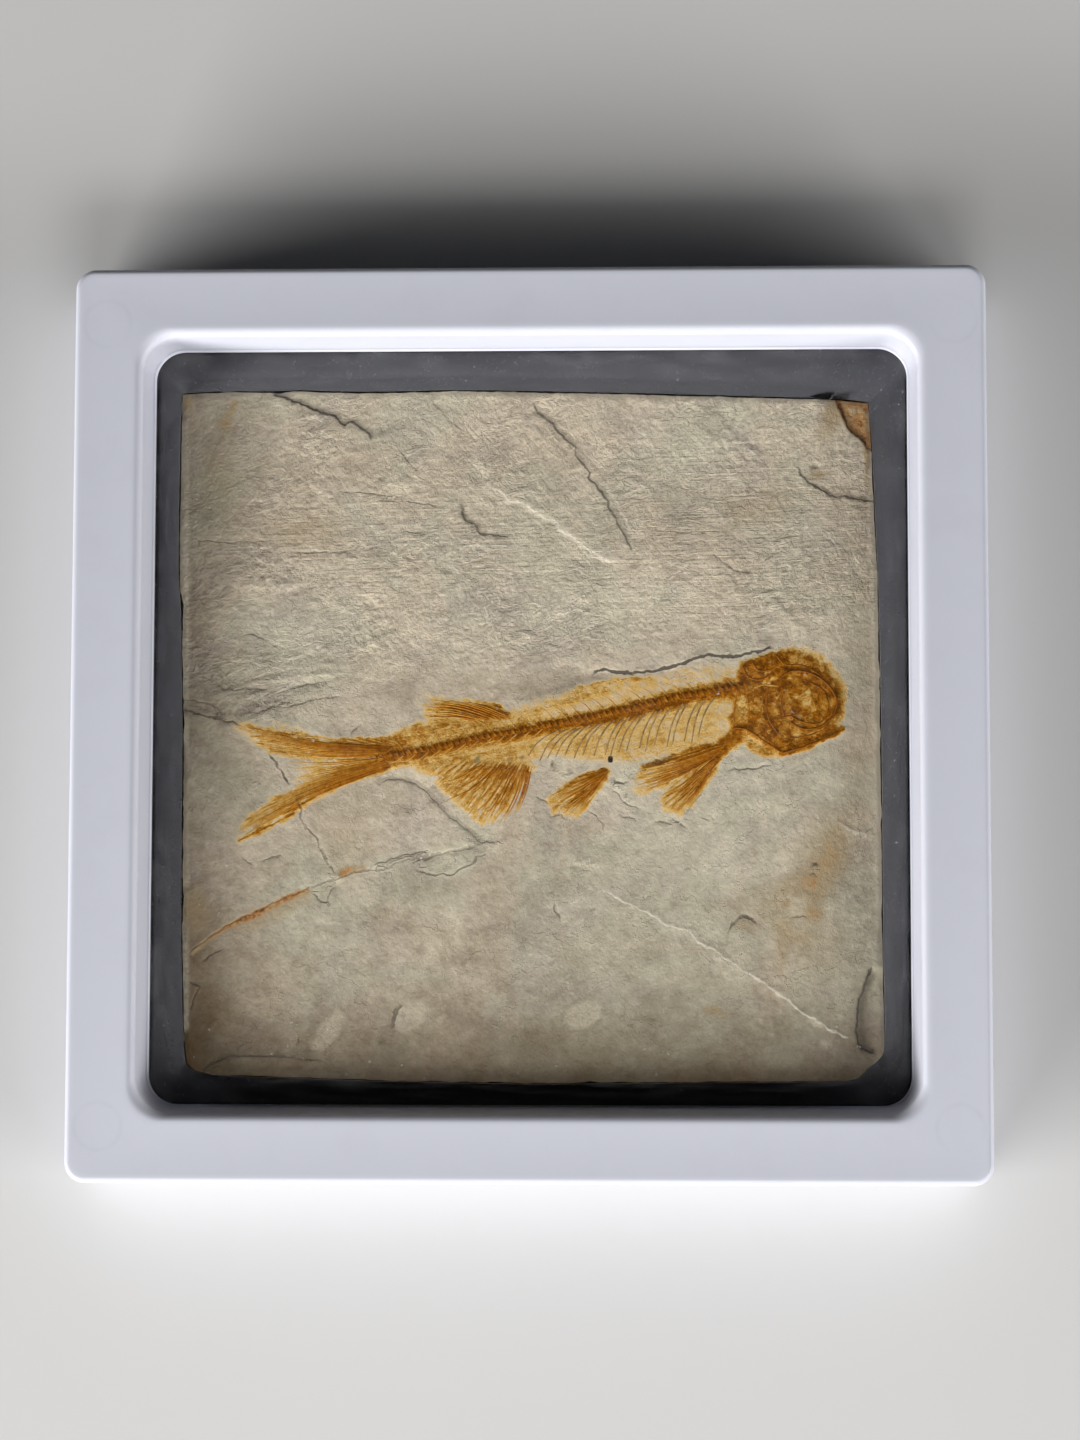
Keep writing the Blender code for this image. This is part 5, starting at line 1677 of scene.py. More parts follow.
@dataclass
class FishImprint:
    """The fish as it lies in the stone: its stain, its swellings and its bones' paths."""

    spine: Path = ((42.5, 7.2), (40, 6.9), (35, 6.1), (30, 5.3), (25, 4.1), (20, 2.8),
                   (15, 1.8), (10, 0.9), (5, -0.1), (0, -1.1), (-5, -2), (-10, -2.8),
                   (-15, -3.9), (-20, -5.1), (-25, -5.8), (-30, -6.6))
    core: Path = ((42.5, 7.1), (35, 5.9), (25, 3.8), (15, 1.45), (5, -0.45), (0, -1.5), (-5, -2.4),
                  (-10, -3.2), (-15, -4.3), (-20, -5.5), (-25, -6.2), (-30, -6.8))
    upper_lobe: Path = ((-28, -5.2), (-38, -4.9), (-46, -3.9), (-52, -2.4), (-58, -0.6))
    lower_lobe: Path = ((-27, -7), (-33, -9.2), (-38, -11.2), (-42, -13), (-46, -15.2),
                        (-50, -17.6), (-54, -20), (-57, -22.4))
    body: Path = ((43, 11), (40, 11.3), (36, 11.6), (31, 10.9), (26, 9.4), (20, 9.2),
                  (14, 8.2), (8, 6.4), (3, 4.9), (-2, 3.4), (-8, 1.2),
                  (-22, -0.5), (-30, -3.4), (-30, -8.6), (-24, -8.6), (-20, -9.8),
                  (-14, -9.9), (-8, -9), (-2, -9.6), (1, -7.8), (3, -5.6),
                  (7, -6.6), (12, -7.4), (17, -7.8), (22, -7.8),
                  (27, -6.5), (33, -5.5), (38, -5), (41, -5))
    head: Path = ((41, 10), (41.8, 11.6), (44, 12.8), (47.5, 13.9), (51, 14.3), (55, 13.4),
                  (58.3, 11), (60.4, 8), (61.2, 5), (61, 2),
                  (60.2, 0), (62.6, -1), (60, -2.4), (57, -3.6), (54, -4.9),
                  (50.5, -6.2), (48, -5), (45, -3), (43, -2), (40, -1.8),
                  (39.5, 1), (40.6, 4), (41, 7))
    outer_ring: Path = ((49.8, 9.2), (52, 10.3), (55.5, 9.9), (58.5, 8), (60.4, 5.4), (60.6, 3),
                        (59.4, 0.8), (57, -0.8), (54, -1.1), (51.5, 0.2))
    inner_ring: Path = ((51.4, 1.4), (54, 0.2), (57, -0.1), (58.6, 1.6), (59, 4), (57.8, 6.6),
                        (55.4, 8))
    jaw: Path = ((50, -5.9), (54, -4.7), (58, -3.1), (62.2, -1.2))
    gill: Path = ((40.5, -0.9), (43, -1.3), (46, -3.3), (49.5, -5.6))
    fans: tuple[Fan, ...] = (
        Fan("dorsal", ((-4, 1.6), (-6, 1.3), (-9, 1), (-11, 0.8)),
            ((-13, 4.4), (-20, 4.7), (-21.6, 3), (-19, 0.8)), -0.05,
            ((-3.8, 1.6), (-6.3, 3.5), (-9, 4), (-12.6, 4.4), (-16, 4.6), (-20, 4.8),
             (-21.4, 3.4), (-20, 0.8), (-14, 0.6), (-8, 1.2)),
            (0.74, 0.34), 9, 0.8),
        Fan("anal", ((-10, -8.2), (-7, -8.7), (-4.4, -9), (-2, -9.3), (-0.4, -9.6), (0.4, -9.6)),
            ((-18, -11.6), (-17.4, -14.4), (-13.8, -17.2), (-9.6, -20.4), (-6, -19.8),
             (-3.4, -18.6), (-1.8, -17)), 0.04,
            ((1, -8.8), (-6, -7.8), (-14, -7.8), (-19.5, -8.8), (-18.4, -11.2), (-17, -13.6),
             (-13.8, -16.6), (-11, -18.8), (-8.6, -20.6), (-6.6, -19), (-4.4, -16.4),
             (-2.4, -13), (-0.6, -10.6)),
            (0.50, 0.34), 15, 0.84, 0.6, 0.17),
        Fan("pelvic", ((15.3, -9.3), (14.9, -10), (14.9, -10.6)),
            ((5.4, -13.2), (4, -15.6), (5.2, -18), (10, -17.6)), 0.03,
            ((15.6, -9.2), (12, -9.8), (9, -11.4), (5.6, -13), (4.2, -15.2), (4.4, -18.2),
             (7.9, -18.9), (11, -17.2), (13, -14), (15, -11), (15.6, -10)),
            (0.62, 0.26), 10, 0.88),
        Fan("pectoral_upper", ((38.6, -4.4), (37.6, -5.6), (36.6, -6.8)),
            ((22.6, -8.9), (20.8, -11), (22.4, -13.6)), 0.03,
            ((39, -3.6), (35, -4.5), (30, -6.2), (25, -7.8), (22.4, -8.8), (20.2, -10.8),
             (19.8, -13), (22.4, -14.4), (27, -12.6), (31, -10), (37, -8)),
            (0.64, 0.20), 11, 0.9),
        Fan("pectoral_lower", ((37, -6.6), (36.4, -8), (35.6, -10)),
            ((25, -14.8), (26, -17.2), (28.4, -18), (31, -17.4)), 0.03,
            ((37.5, -7), (36.4, -10), (34, -13), (31.4, -17), (29.6, -18.2),
             (27.4, -17.8), (25.6, -16.6), (25.4, -14.8), (29, -11.4), (35, -7.6)),
            (0.66, 0.24), 9, 0.9),
        Fan("tail_upper", ((-27, -4.6), (-28, -5.4), (-29, -6.2)),
            ((-58.6, -0.4), (-55.6, -1.8), (-52, -4.4), (-49, -6)), 0.03,
            ((-27, -3.2), (-38, -3.2), (-42, -2.8), (-48.5, -1), (-54, 0), (-59.6, 0.9),
             (-58.6, -1.4), (-55.4, -3.2), (-51.4, -5.6), (-49, -6.5), (-42, -6.6), (-29, -7)),
            (0.76, 0.40), 15, 0.86, 0.4),
        Fan("tail_inner", ((-29, -6.8), (-29.5, -7.4)),
            ((-47.6, -7.4), (-46, -9.4), (-46, -11), (-46.6, -12.8)), 0.02,
            ((-29, -6.4), (-38, -6.2), (-43, -6.8), (-46.6, -8), (-45.6, -10), (-46.6, -12.6),
             (-42, -12.6), (-38, -10.5)),
            (0.62, 0.12), 9, 0.7, 0.5, 0.14),
        Fan("tail_lower", ((-29, -7.4), (-28, -8), (-27.5, -8.6)),
            ((-47, -13), (-53, -16.4), (-57, -20), (-57.6, -23)), -0.03,
            ((-29, -7.2), (-37.3, -9.2), (-42, -11.4), (-46, -12.9), (-50.6, -14.8),
             (-54, -16.8), (-57.6, -20.4), (-58.2, -23), (-56.5, -23.5), (-51, -20.8),
             (-45.4, -17), (-41, -14.2), (-34, -11), (-28, -9)),
            (0.78, 0.36), 15, 0.88, 0.4),
    )
    rib_count: int = 20

    def __post_init__(self) -> None:
        """Draw the seeded patterns that the methods share."""
        self.fray, self.lumps = Noise(97), Noise(83)

    def ribs(self) -> list[Path]:
        """Return the ribs, from behind the head towards the tail, leaning ever more."""
        chance = np.random.default_rng(7)
        line = np.array(self.spine)[::-1]
        ribs = []
        for share in np.linspace(0, 1, self.rib_count):
            x = 36.4 - 31 * share + chance.uniform(-0.5, 0.5)
            y = float(np.interp(x, line[:, 0], line[:, 1])) - 1.7 + chance.uniform(-0.3, 0.3)
            across = 3.0 + 3.0 * share ** 2 + chance.uniform(-0.5, 0.4)
            down = 8.2 - 2.6 * share ** 2 + chance.uniform(-0.8, 0.5)
            ribs.append(((x, y), (x - 0.36 * across, y - 0.2 * down),
                         (x - 0.72 * across, y - 0.52 * down), (x - across, y - down)))
        return ribs

    def stain_layers(self) -> list[Layer]:
        """Return what stains the stone, each laid over the ones before it."""
        trunk = [
            (0.21, Patch(self.body, 0.95, 1.9)),
            (0.30, Patch(((-30, -3.4), (-22, -0.8), (-8, 1), (0, 2.8), (8, 5.6), (14, 7), (20, 7.6),
                          (26, 7.6), (34, 8.2), (41, 9.4), (41, 7), (20, 3), (0, -1.4),
                          (-30, -7)), 0.8, 1)),
            (0.42, Patch(((6.2, 4.4), (8.6, 6.4), (13, 7.6), (15.4, 7), (14, 5), (9, 3.8)), 0.8, 1)),
            (0.42, Stroke(((8.5, 6.3), (12.6, 7.6), (17, 8.5), (20.9, 8.8), (25.4, 8.3)),
                          (0.35, 0.45, 0.3), (0.7, 1, 0.8))),
            (0.44, Patch(((-26, -1.8), (-20, 0.4), (-8, 1), (2, 3.4), (4, 0.6), (-6, -1), (-18, -3.6)),
                         0.8, 1)),
            (0.50, Patch(((-27, -2.6), (-22, 0.2), (-14, 0.6), (-13, -1.6), (-20, -3.4)), 0.8, 1)),
            (0.16, Patch(((37, 9), (26, 7.4), (24, 8.4), (30, 10.2), (37, 11.2)), 0.8, 0.8)),
            (0.28, Patch(((38, 4.4), (30, 3.2), (20, 0.8), (10, -1), (3, -3), (4, -5.4), (14, -7.2),
                          (26, -6.2), (37, -4)), 0.9, 1)),
            (0.36, Spot((8, -3.4), (7, 1.6), 18, 0.7, 0.8)),
            (0.40, Spot((24, -3.4), (6, 1.4), -16, 0.5, 0.8)),
            (0.36, Patch(((2, -3.4), (-10, -5.2), (-24, -7.6), (-24, -8.4), (-14, -9.4), (-2, -9),
                          (1, -6.8)), 0.9, 0.8)),
            (0.50, Spot((-16.5, -8.2), (4.4, 1.4), 8, 0.8, 0.7)),
            (0.60, Stroke(((30, 3.9), (22, 1.6), (14, 0.1)), (0.5, 0.6, 0.4), (0.5, 0.85, 0.5))),
            (0.76, Patch(((-24, -2.8), (-29, -3.4), (-38, -4), (-40, -7.6), (-38, -10.6), (-30, -9.4),
                          (-24, -8)), 0.95, 1.1)),
            (0.16, Stroke(((41, 9.8), (35, 8.6), (30, 7.8), (25, 6.6), (20, 5.3), (15, 4.3), (10, 3.5),
                           (5, 2.4), (0, 1.4)), (0.9, 1, 0.8), (0.8, 0.95, 0.9, 0.4), 0.6)),
            (0.58, Stroke(self.core, (1.9, 2.0, 1.8, 1.6, 1.5, 1.6, 1.8), (1,), 0.4)),
            (0.95, Stroke(self.core, (1.05, 1.05, 1.25, 1.3, 1.05, 0.95, 0.9, 0.9, 1.0, 1.15), (1,),
                          0.4)),
            (0.9, Stroke(((-27, -6.4), (-33, -7.2), (-38, -9.4), (-41, -11.4)), (1, 1.2, 0.6),
                         (0.8, 0.8, 0.3), 0.7)),
        ]
        fins: list[Layer] = []
        for fan in (*self.fans[5:], *self.fans[:5]):
            fins += fan.layers()
        fins += [
            # dorsal fin's dark front, then its halo
            (0.92, Stroke(((-4.4, 1.9), (-8, 2.3), (-12, 2.5), (-17, 2.8)), (0.5, 1.2, 1.4, 1.1),
                          (0.9, 0.95, 0.85, 0.3), 0.6)),
            (0.22, Patch(((-16, 5), (-17, 5.8), (-20.5, 6.2), (-22.5, 4.6), (-21, 4.8)), 0.6, 0.8)),
            # anal fin's dark foot and its brightest fill
            (0.86, Stroke(((-0.8, -9.2), (-4, -9.6), (-8, -9.9), (-12, -9.6)), (0.8, 1.3, 0.9),
                          (0.8, 0.9, 0.5), 0.7)),
            (0.30, Spot((-10.2, -17), (1.3, 2.2), -20, 0.7, 0.7)),
            (0.72, Stroke(((-2, -10), (-5, -13.8), (-8, -18)), (0.5, 0.9, 0.7), (0.7, 0.5, 0.2), 0.8)),
            # pelvic fin's two dark streaks and its pale left side
            (0.88, Stroke(((15.4, -9.3), (12.4, -10.2), (9, -11.7), (5.8, -13.4)), (0.6, 0.8, 0.5),
                          (0.95, 0.8, 0.4), 0.5)),
            (0.84, Stroke(((14.9, -10.6), (11.6, -13.6), (8.6, -15.8), (4.8, -18)), (0.5, 0.7, 0.4),
                          (0.9, 0.75, 0.3), 0.5)),
            (0.34, Patch(((4.4, -13.8), (7, -13.4), (7.6, -15.4), (4.6, -16.8), (3, -15.6)), 0.7, 0.7)),
            # pectoral fin's dark edge and its streaks
            (0.92, Stroke(((38.6, -4.4), (34, -5.2), (28, -7.2), (22.9, -8.9)), (0.8, 0.8, 0.6),
                          (0.9, 0.8, 0.7), 0.5)),
            (0.90, Stroke(((36, -6.2), (30, -9.6), (23.8, -13)), (0.6, 0.7, 0.4), (0.9, 0.7, 0.3), 0.5)),
            (0.40, Stroke(((33, -6.6), (28, -9), (24, -10.8)), (0.3, 0.5, 0.3), (0.4, 0.7, 0.6), 0.6)),
            (0.90, Stroke(((35.6, -8.4), (31.4, -12.6), (28.2, -16.6)), (0.9, 0.8, 0.5),
                          (0.9, 0.7, 0.3), 0.5)),
            (0.44, Stroke(((33.4, -9.2), (30, -12), (27, -14.8)), (0.3, 0.5, 0.3), (0.3, 0.6, 0.5), 0.6)),
            (0.94, Stroke(((41.5, -2.2), (38.5, -4.6), (36, -7.6)), (1.6, 1.4, 1.1), (0.85,), 0.5)),
            # dark ends of the tail's roots and the lines behind the tail
            (0.86, Stroke(((-45.4, -14.6), (-51.2, -18.2), (-53.5, -19.8)), (0.5, 0.6, 0.3),
                          (0.7, 0.6, 0.3))),
            (0.78, Stroke(((-45.4, -16.9), (-51, -20.2), (-57.5, -23.2)), (0.3, 0.35, 0.25),
                          (0.7, 0.7, 0.6))),
            (0.40, Stroke(((-41, -9), (-46, -11.4)), (0.5, 0.8), (0.4, 0.3), 0.8)),
        ]
        skull = [
            (0.36, Stroke(((50, 14.4), (53.6, 14.3), (57, 12.6), (60, 9.8)), (0.6, 1.1, 0.9),
                          (0.6, 0.9, 0.9), 0.9)),
            (0.34, Stroke(((59.8, 9.8), (61.4, 8), (62, 5.2), (61.6, 1.4)), (0.7, 0.8, 0.5),
                          (0.8, 0.8, 0.5), 0.9)),
            (0.66, Patch(((41.5, -2.6), (45, -3.6), (50, -6), (50, -6.4), (47, -6.7), (43.6, -5.6)),
                         0.8, 0.6)),
            (0.80, Patch(self.head, 1, 0.6)),
            (0.90, Patch(((41.4, 9), (42, 11.4), (45, 12.8), (47.5, 13.4), (51, 13.6), (55, 12.8),
                          (58, 10.6), (60, 8), (58, 9), (54.4, 11.4), (50.6, 11.2), (47, 9.8),
                          (44.6, 7.4)), 0.8, 0.8)),
            (0.60, Spot((53.4, 12.2), (3.2, 1.1), -16, 0.95, 0.6)),
            (0.60, Spot((46.2, 11.4), (1.6, 0.7), 20, 0.6, 0.6)),
            (0.40, Patch(((40, -0.6), (40.4, 4.6), (42.4, 6), (43, 3), (42.8, -0.6)), 0.9, 0.6)),
            (0.60, Patch(((42.8, -0.4), (43.2, 5), (45.4, 6.4), (46.6, 3.6), (46, 0)), 0.85, 0.5)),
            (0.92, Stroke(((47.2, 7.2), (46.9, 4), (47.4, 0.8), (48.6, -1.4)), (0.6, 0.8, 0.5),
                          (0.7, 0.9, 0.6), 0.6)),
            (0.92, Stroke(((50.2, 6.8), (49.8, 4), (50.4, 1.2)), (0.4, 0.5, 0.3), (0.6, 0.7, 0.4), 0.7)),
            (0.56, Stroke(((48.6, 6.6), (48.4, 3.6), (49, 0.6)), (0.3, 0.4, 0.3), (0.6, 0.7, 0.4), 0.6)),
            (0.36, Stroke(((44.4, 7), (46.4, 7.6), (49, 7.3)), (0.22, 0.3, 0.2), (0.8, 1, 0.6))),
            (0.62, Stroke(self.outer_ring, (0.2, 1.2, 1.6, 1.7, 1.5, 1.2), (0.5, 0.9, 0.9), 0.3)),
            (0.68, Spot((55, 4), (4.2, 3.9), 0, 0.85, 0.25)),
            (0.86, Spot((56.4, 5.4), (2.2, 1.9), -40, 0.6, 0.6)),
            (0.95, Stroke(self.outer_ring, (0.2, 0.45, 0.6, 0.6, 0.5, 0.4, 0.3),
                          (0.5, 0.8, 1, 1, 0.9, 0.8, 0.5), 0.4)),
            (0.90, Stroke(self.inner_ring, (0.25, 0.35, 0.3, 0.35), (0.7, 0.85, 0.8, 0.5), 0.4)),
            (0.44, Stroke(((51.6, 0.8), (54, -0.5), (57, -0.6), (58.9, 0.8)), (0.2, 0.25, 0.25),
                          (0.5, 0.8, 0.6))),
            (0.50, Stroke(((52.5, 6), (54.5, 4.7), (55.6, 3.4), (56.2, 2.2)), (0.9, 1, 0.9, 0.6),
                          (0.9, 0.95, 0.8), 0.5)),
            (0.30, Stroke(((52.4, 5.4), (54.3, 4.4), (55.5, 3.3), (56.1, 2.6)), (0.35, 0.5, 0.5, 0.3),
                          (0.8, 0.9, 1, 0.8), 0.6)),
            (0.22, Spot((55, 6), (0.5, 0.4), 0, 0.9)),
            (0.88, Spot((53, 2.6), (1, 0.6), -30, 0.7)),
            (0.92, Stroke(self.jaw, (0.6, 0.7, 0.6, 0.25), (0.9, 0.9, 0.9, 0.7), 0.5)),
            (0.90, Stroke(self.gill, (0.3, 0.4, 0.3), (0.8,), 0.5)),
            (0.50, Stroke(((42, -1.9), (45, -2.6), (48, -4.6)), (0.3, 0.4, 0.3), (0.7, 0.5), 0.6)),
            (0.34, Spot((52.6, -2.2), (1.2, 0.9), 10, 1, 0.4)),
            (0.48, Spot((55.6, -2.4), (1.6, 0.5), 20, 0.5, 0.6)),
            (0.40, Spot((57.2, 11.2), (1.2, 0.5), -38, 0.6, 0.6)),
        ]
        flecks = [(0.28, Spot(spot, (0.35, 0.28), 20, 0.8, 0.5))
                  for spot in ((49.1, 4.9), (49.3, 3.8), (46.8, 9.9), (43.9, 9), (44.4, 4.6), (45, 11),
                               (51.4, 8.8), (48, 8.6), (50.8, -2.6), (47.2, -1.4), (43.6, 6.8))]
        return trunk + fins + skull + flecks

    def spot_marks(self) -> list[Mark]:
        """Return the dark grey-green spots on the belly."""
        return [
            Spot((-10.2, -7.1), (0.5, 0.8), -20, 0.85), Spot((4.7, -8.2), (0.35, 0.75), 15, 0.95),
            Spot((19, -14.4), (0.4, 0.35), 0, 0.8),
            Spot((-3.8, -7), (0.4, 0.5), 0, 0.6), Spot((-1.3, -6.6), (0.4, 0.4), 0, 0.7),
            Spot((8, -9.3), (0.4, 0.3), 0, 0.5), Spot((-18.8, -12.7), (0.5, 0.4), 0, 0.5),
            Stroke(((5.2, -9.2), (7, -10.2), (8.4, -9.8)), (0.25,), (0.6,)),
            Stroke(((22.4, -8.2), (24.6, -7.8), (28, -6.6)), (0.25, 0.35, 0.2), (0.6,)),
            Stroke(((-45.4, -14.2), (-46.2, -16)), (0.4,), (0.6,)),
        ]

    def fields(self, x: np.ndarray, y: np.ndarray) -> dict[str, np.ndarray]:
        """Return the fish's stain and what shapes it at each point."""
        ragged_x = x + 0.5 * self.fray.layered(x * 0.6, y * 0.6, 4, 0.65)
        ragged_y = y + 0.5 * self.fray.layered(x * 0.6 + 40, y * 0.6 + 9, 4, 0.65)
        square = np.maximum(np.abs(x - 16.05) / 0.45, np.abs(y + 7.1) / 0.66)
        spine = measure(self.spine, x, y)
        in_head = Patch(self.head, 1, 1).cover(x, y)
        ticks = (smoothstep(-2.4, -1.2, spine.side) * (1 - smoothstep(-0.6, 0.1, spine.side))
                 * smoothstep(0.04, 0.1, spine.share) * (1 - smoothstep(0.86, 0.94, spine.share)))
        flow, fibrous = self.flow(x, y)
        return {"stain": painted(self.stain_layers(), ragged_x, ragged_y),
                "moss": covered(self.spot_marks(), x, y), "ticks": ticks,
                "black": np.clip(1.5 - square, 0, 1), "flow": flow,
                "fibrous": fibrous * (1 - in_head)}

    def flow(self, x: np.ndarray, y: np.ndarray) -> tuple[np.ndarray, np.ndarray]:
        """Return each point's place along and across the fibres, and how fibrous it is."""
        spine = measure(self.spine, x, y)
        along, across = spine.share * spine.length, spine.side
        fibrous = np.full(x.shape, 0.35)
        for fan in self.fans:
            within = inside(fan.outline, x, y)
            fan_along, fan_across = fan.polar(x, y)
            along = np.where(within > -0.8, fan_along, along)
            across = np.where(within > -0.8, fan_across, across)
            fibrous = np.maximum(fibrous, smoothstep(-0.8, 0.4, within))
        return np.column_stack((along, across, np.zeros(x.shape))), fibrous

    def swelling(self, x: np.ndarray, y: np.ndarray) -> np.ndarray:
        """Return how far the fish lifts the stone."""
        height = 0.09 * Patch(self.body, 1, 2).cover(x, y)
        height += 0.15 * Patch(self.head, 1, 0.8).cover(x, y)
        height += Spot((51.5, 4.5), (11, 9.5), 0, 0.14).dome(x, y)
        for path, rise, width in ((self.spine, 0.14, 0.95), (self.upper_lobe, 0.1, 1.4),
                                  (self.lower_lobe, 0.12, 1.4), (self.outer_ring, 0.12, 0.6),
                                  (self.inner_ring, 0.08, 0.45), (self.jaw, 0.1, 0.6),
                                  (self.gill, 0.08, 0.5),
                                  (((41.5, -2), (38.5, -4.5), (36, -7.5)), 0.14, 1.2)):
            height += rise * np.exp(-(measure(path, x, y).distance / width) ** 2)
        for fan in self.fans[:5]:
            height += 0.07 * smoothstep(-0.4, 0.7, inside(fan.outline, x, y))
        height += Spot((54.6, 3.9), (2.2, 1.9), -30, 0.12).dome(x, y)
        height += Spot((43.3, 3), (2.8, 5.4), 0, 0.1).dome(x, y)
        height += Spot((47.4, 10.6), (4.4, 2.2), 20, 0.1).dome(x, y)
        lumps = (self.lumps.layered(x * 0.55, y * 0.55, 3, 0.65)
                 + 0.5 * (self.lumps.creased(x * 0.7 + 9, y * 0.7, 2) - 0.6))
        return height + 0.15 * lumps * Patch(self.head, 1, 0.6).cover(x, y)


# ================================================================ slab
@dataclass
class ShaleSlab:
    """The shale slab as one closed solid with a finely modelled split face."""

    back_z: float = 5.5
    column_bands: tuple[tuple[float, int], ...] = ((-62, 14), (38, 186), (64, 74), (69.4, 14))
    row_bands: tuple[tuple[float, int], ...] = ((-64, 12), (-25, 66), (17.5, 112), (67.5, 104))
    rim_inset: float = 0.0045
    side_levels: tuple[float, ...] = (11.2, 10.2, 9.0, 7.9, 6.7, 5.9)
    side_bottom: Path = ((-67.3, -67.0), (-65.6, -68.4), (-62.0, -69.2), (-30.0, -70.2),
                         (0.0, -70.7), (40.0, -70.3), (62.0, -70.1), (64.9, -69.4),
                         (66.2, -67.6))
    side_right: Path = ((66.2, -67.6), (67.6, -66.0), (69.4, -64.8), (69.6, -60.0), (69.3, -45.0),
                        (69.3, -25.0), (69.2, 0.0), (68.9, 25.0), (68.3, 42.0), (67.9, 53.0),
                        (67.2, 63.8))
    side_top: Path = ((-69.6, 66.2), (-60.0, 66.7), (-50.0, 66.4), (-47.0, 66.9), (-41.0, 66.5),
                      (-30.0, 66.3), (-15.0, 66.6), (0.0, 66.3), (20.0, 65.8), (40.0, 65.2),
                      (47.0, 64.9), (56.0, 64.7), (61.5, 64.4), (67.2, 63.8))
    side_left: Path = ((-67.3, -67.0), (-67.9, -62.0), (-68.4, -45.0), (-68.5, -30.0),
                       (-68.6, 0.0), (-69.1, 18.0), (-69.0, 24.0), (-69.8, 27.0),
                       (-69.8, 50.0), (-69.6, 66.2))
    surface: StoneSurface = field(default_factory=StoneSurface)
    colours: StoneColours = field(default_factory=StoneColours)
    fish: FishImprint = field(default_factory=FishImprint)

    @staticmethod
    def along(path: Path, shares: np.ndarray) -> np.ndarray:
        """Return the points of a path at shares of its length, as rows of x, y."""
        spots = np.array(path)
        lengths = np.concatenate(([0.0], np.cumsum(np.hypot(*np.diff(spots, axis=0).T))))
        target = shares * lengths[-1]
        return np.column_stack([np.interp(target, lengths, spots[:, axis]) for axis in (0, 1)])

    def nibbled(self, line: np.ndarray, seed: int) -> np.ndarray:
        """Return one side of the outline with small chips, none at its two ends."""
        chips = Noise(seed)
        places = line[:, 0] + line[:, 1]
        waver = (0.22 * chips.layered(places * 0.35, places * 0.0 + 3.5, 4, 0.62)
                 - 0.30 * smoothstep(0.34, 0.6, chips(places * 0.16, places * 0.0 + 9.5)))
        ends = np.sin(np.linspace(0.0, math.pi, len(line))) ** 0.35
        outward = line / np.linalg.norm(line, axis=1)[:, None]
        return line + outward * (waver * ends)[:, None]

    def shares(self, low: float, bands: tuple[tuple[float, int], ...]) -> np.ndarray:
        """Return the grid lines' shares of one side, from the bands' ends and their counts."""
        high = bands[-1][0]
        margin = self.rim_inset * (high - low)
        levels, start = [low], low + margin
        for last, count in bands:
            stop = min(last, high - margin)
            levels.extend(np.linspace(start, stop, count, endpoint=last == high))
            start = stop
        return (np.array([*levels, high]) - low) / (high - low)

    def grid(self) -> np.ndarray:
        """Return the face's grid of x, y places: rows of columns that follow the outline."""
        columns = self.shares(-69.4, self.column_bands)
        rows = self.shares(self.side_left[0][1], self.row_bands)
        bottom = self.nibbled(self.along(self.side_bottom, columns), 3)
        top = self.nibbled(self.along(self.side_top, columns), 5)
        left = self.nibbled(self.along(self.side_left, rows), 7)
        right = self.nibbled(self.along(self.side_right, rows), 9)
        u, v = columns[None, :, None], rows[:, None, None]
        edges = ((1 - v) * bottom[None] + v * top[None]
                 + (1 - u) * left[:, None] + u * right[:, None])
        corners = ((1 - u) * (1 - v) * bottom[0] + u * (1 - v) * bottom[-1]
                   + (1 - u) * v * top[0] + u * v * top[-1])
        return edges - corners

    def height(self, x: np.ndarray, y: np.ndarray) -> np.ndarray:
        """Return the split face's z at each point."""
        return self.surface.level + self.surface.relief(x, y, self.fish.swelling(x, y))

    def outline(self) -> Path:
        """Return the slab's outline, counter-clockwise."""
        return (*self.side_bottom[:-1], *self.side_right[:-1], *reversed(self.side_top[1:]),
                *reversed(self.side_left[1:]))

    def worn(self, x: np.ndarray, y: np.ndarray) -> np.ndarray:
        """Return how much the face is worn down close to its rim."""
        depth = inside(self.outline(), x, y)
        chips = 0.5 + 0.5 * Noise(61).layered(x * 0.22, y * 0.22, 3)
        rim = np.clip(1.0 - depth / (0.5 + 0.9 * chips), 0.0, 1.0)
        return (0.14 + 0.34 * chips) * rim ** 1.6

    def sides(self, rim: np.ndarray) -> list[np.ndarray]:
        """Return the rings of the broken sides, from the face's rim to the back.

        Args:
            rim: The face's rim, counter-clockwise.

        Returns:
            The rings, the rim first.
        """
        layers = Noise(71)
        run = np.concatenate(([0.0], np.cumsum(np.hypot(*np.diff(rim[:, :2], axis=0).T))))
        outward = rim[:, :2] / np.linalg.norm(rim[:, :2], axis=1)[:, None]
        rings = [rim]
        for index, level in enumerate((*self.side_levels, self.back_z)):
            waver = layers.layered(run * 0.16 + 31.0 * index, run * 0.0 + 7.3 * index, 4, 0.6)
            inset = 0.14 + 0.16 * (index % 2) + 0.42 * np.abs(waver)
            if index == len(self.side_levels):
                inset = inset + 0.5
            lift = 0.22 * layers(run * 0.09 + 5.0 * index, run * 0.0 + 2.1)
            heights = np.full(len(rim), level)
            if index < len(self.side_levels):
                heights = np.minimum(heights + lift, rim[:, 2] - 0.15 * (index + 1))
            rings.append(np.column_stack((rim[:, :2] - outward * inset[:, None], heights)))
        return rings

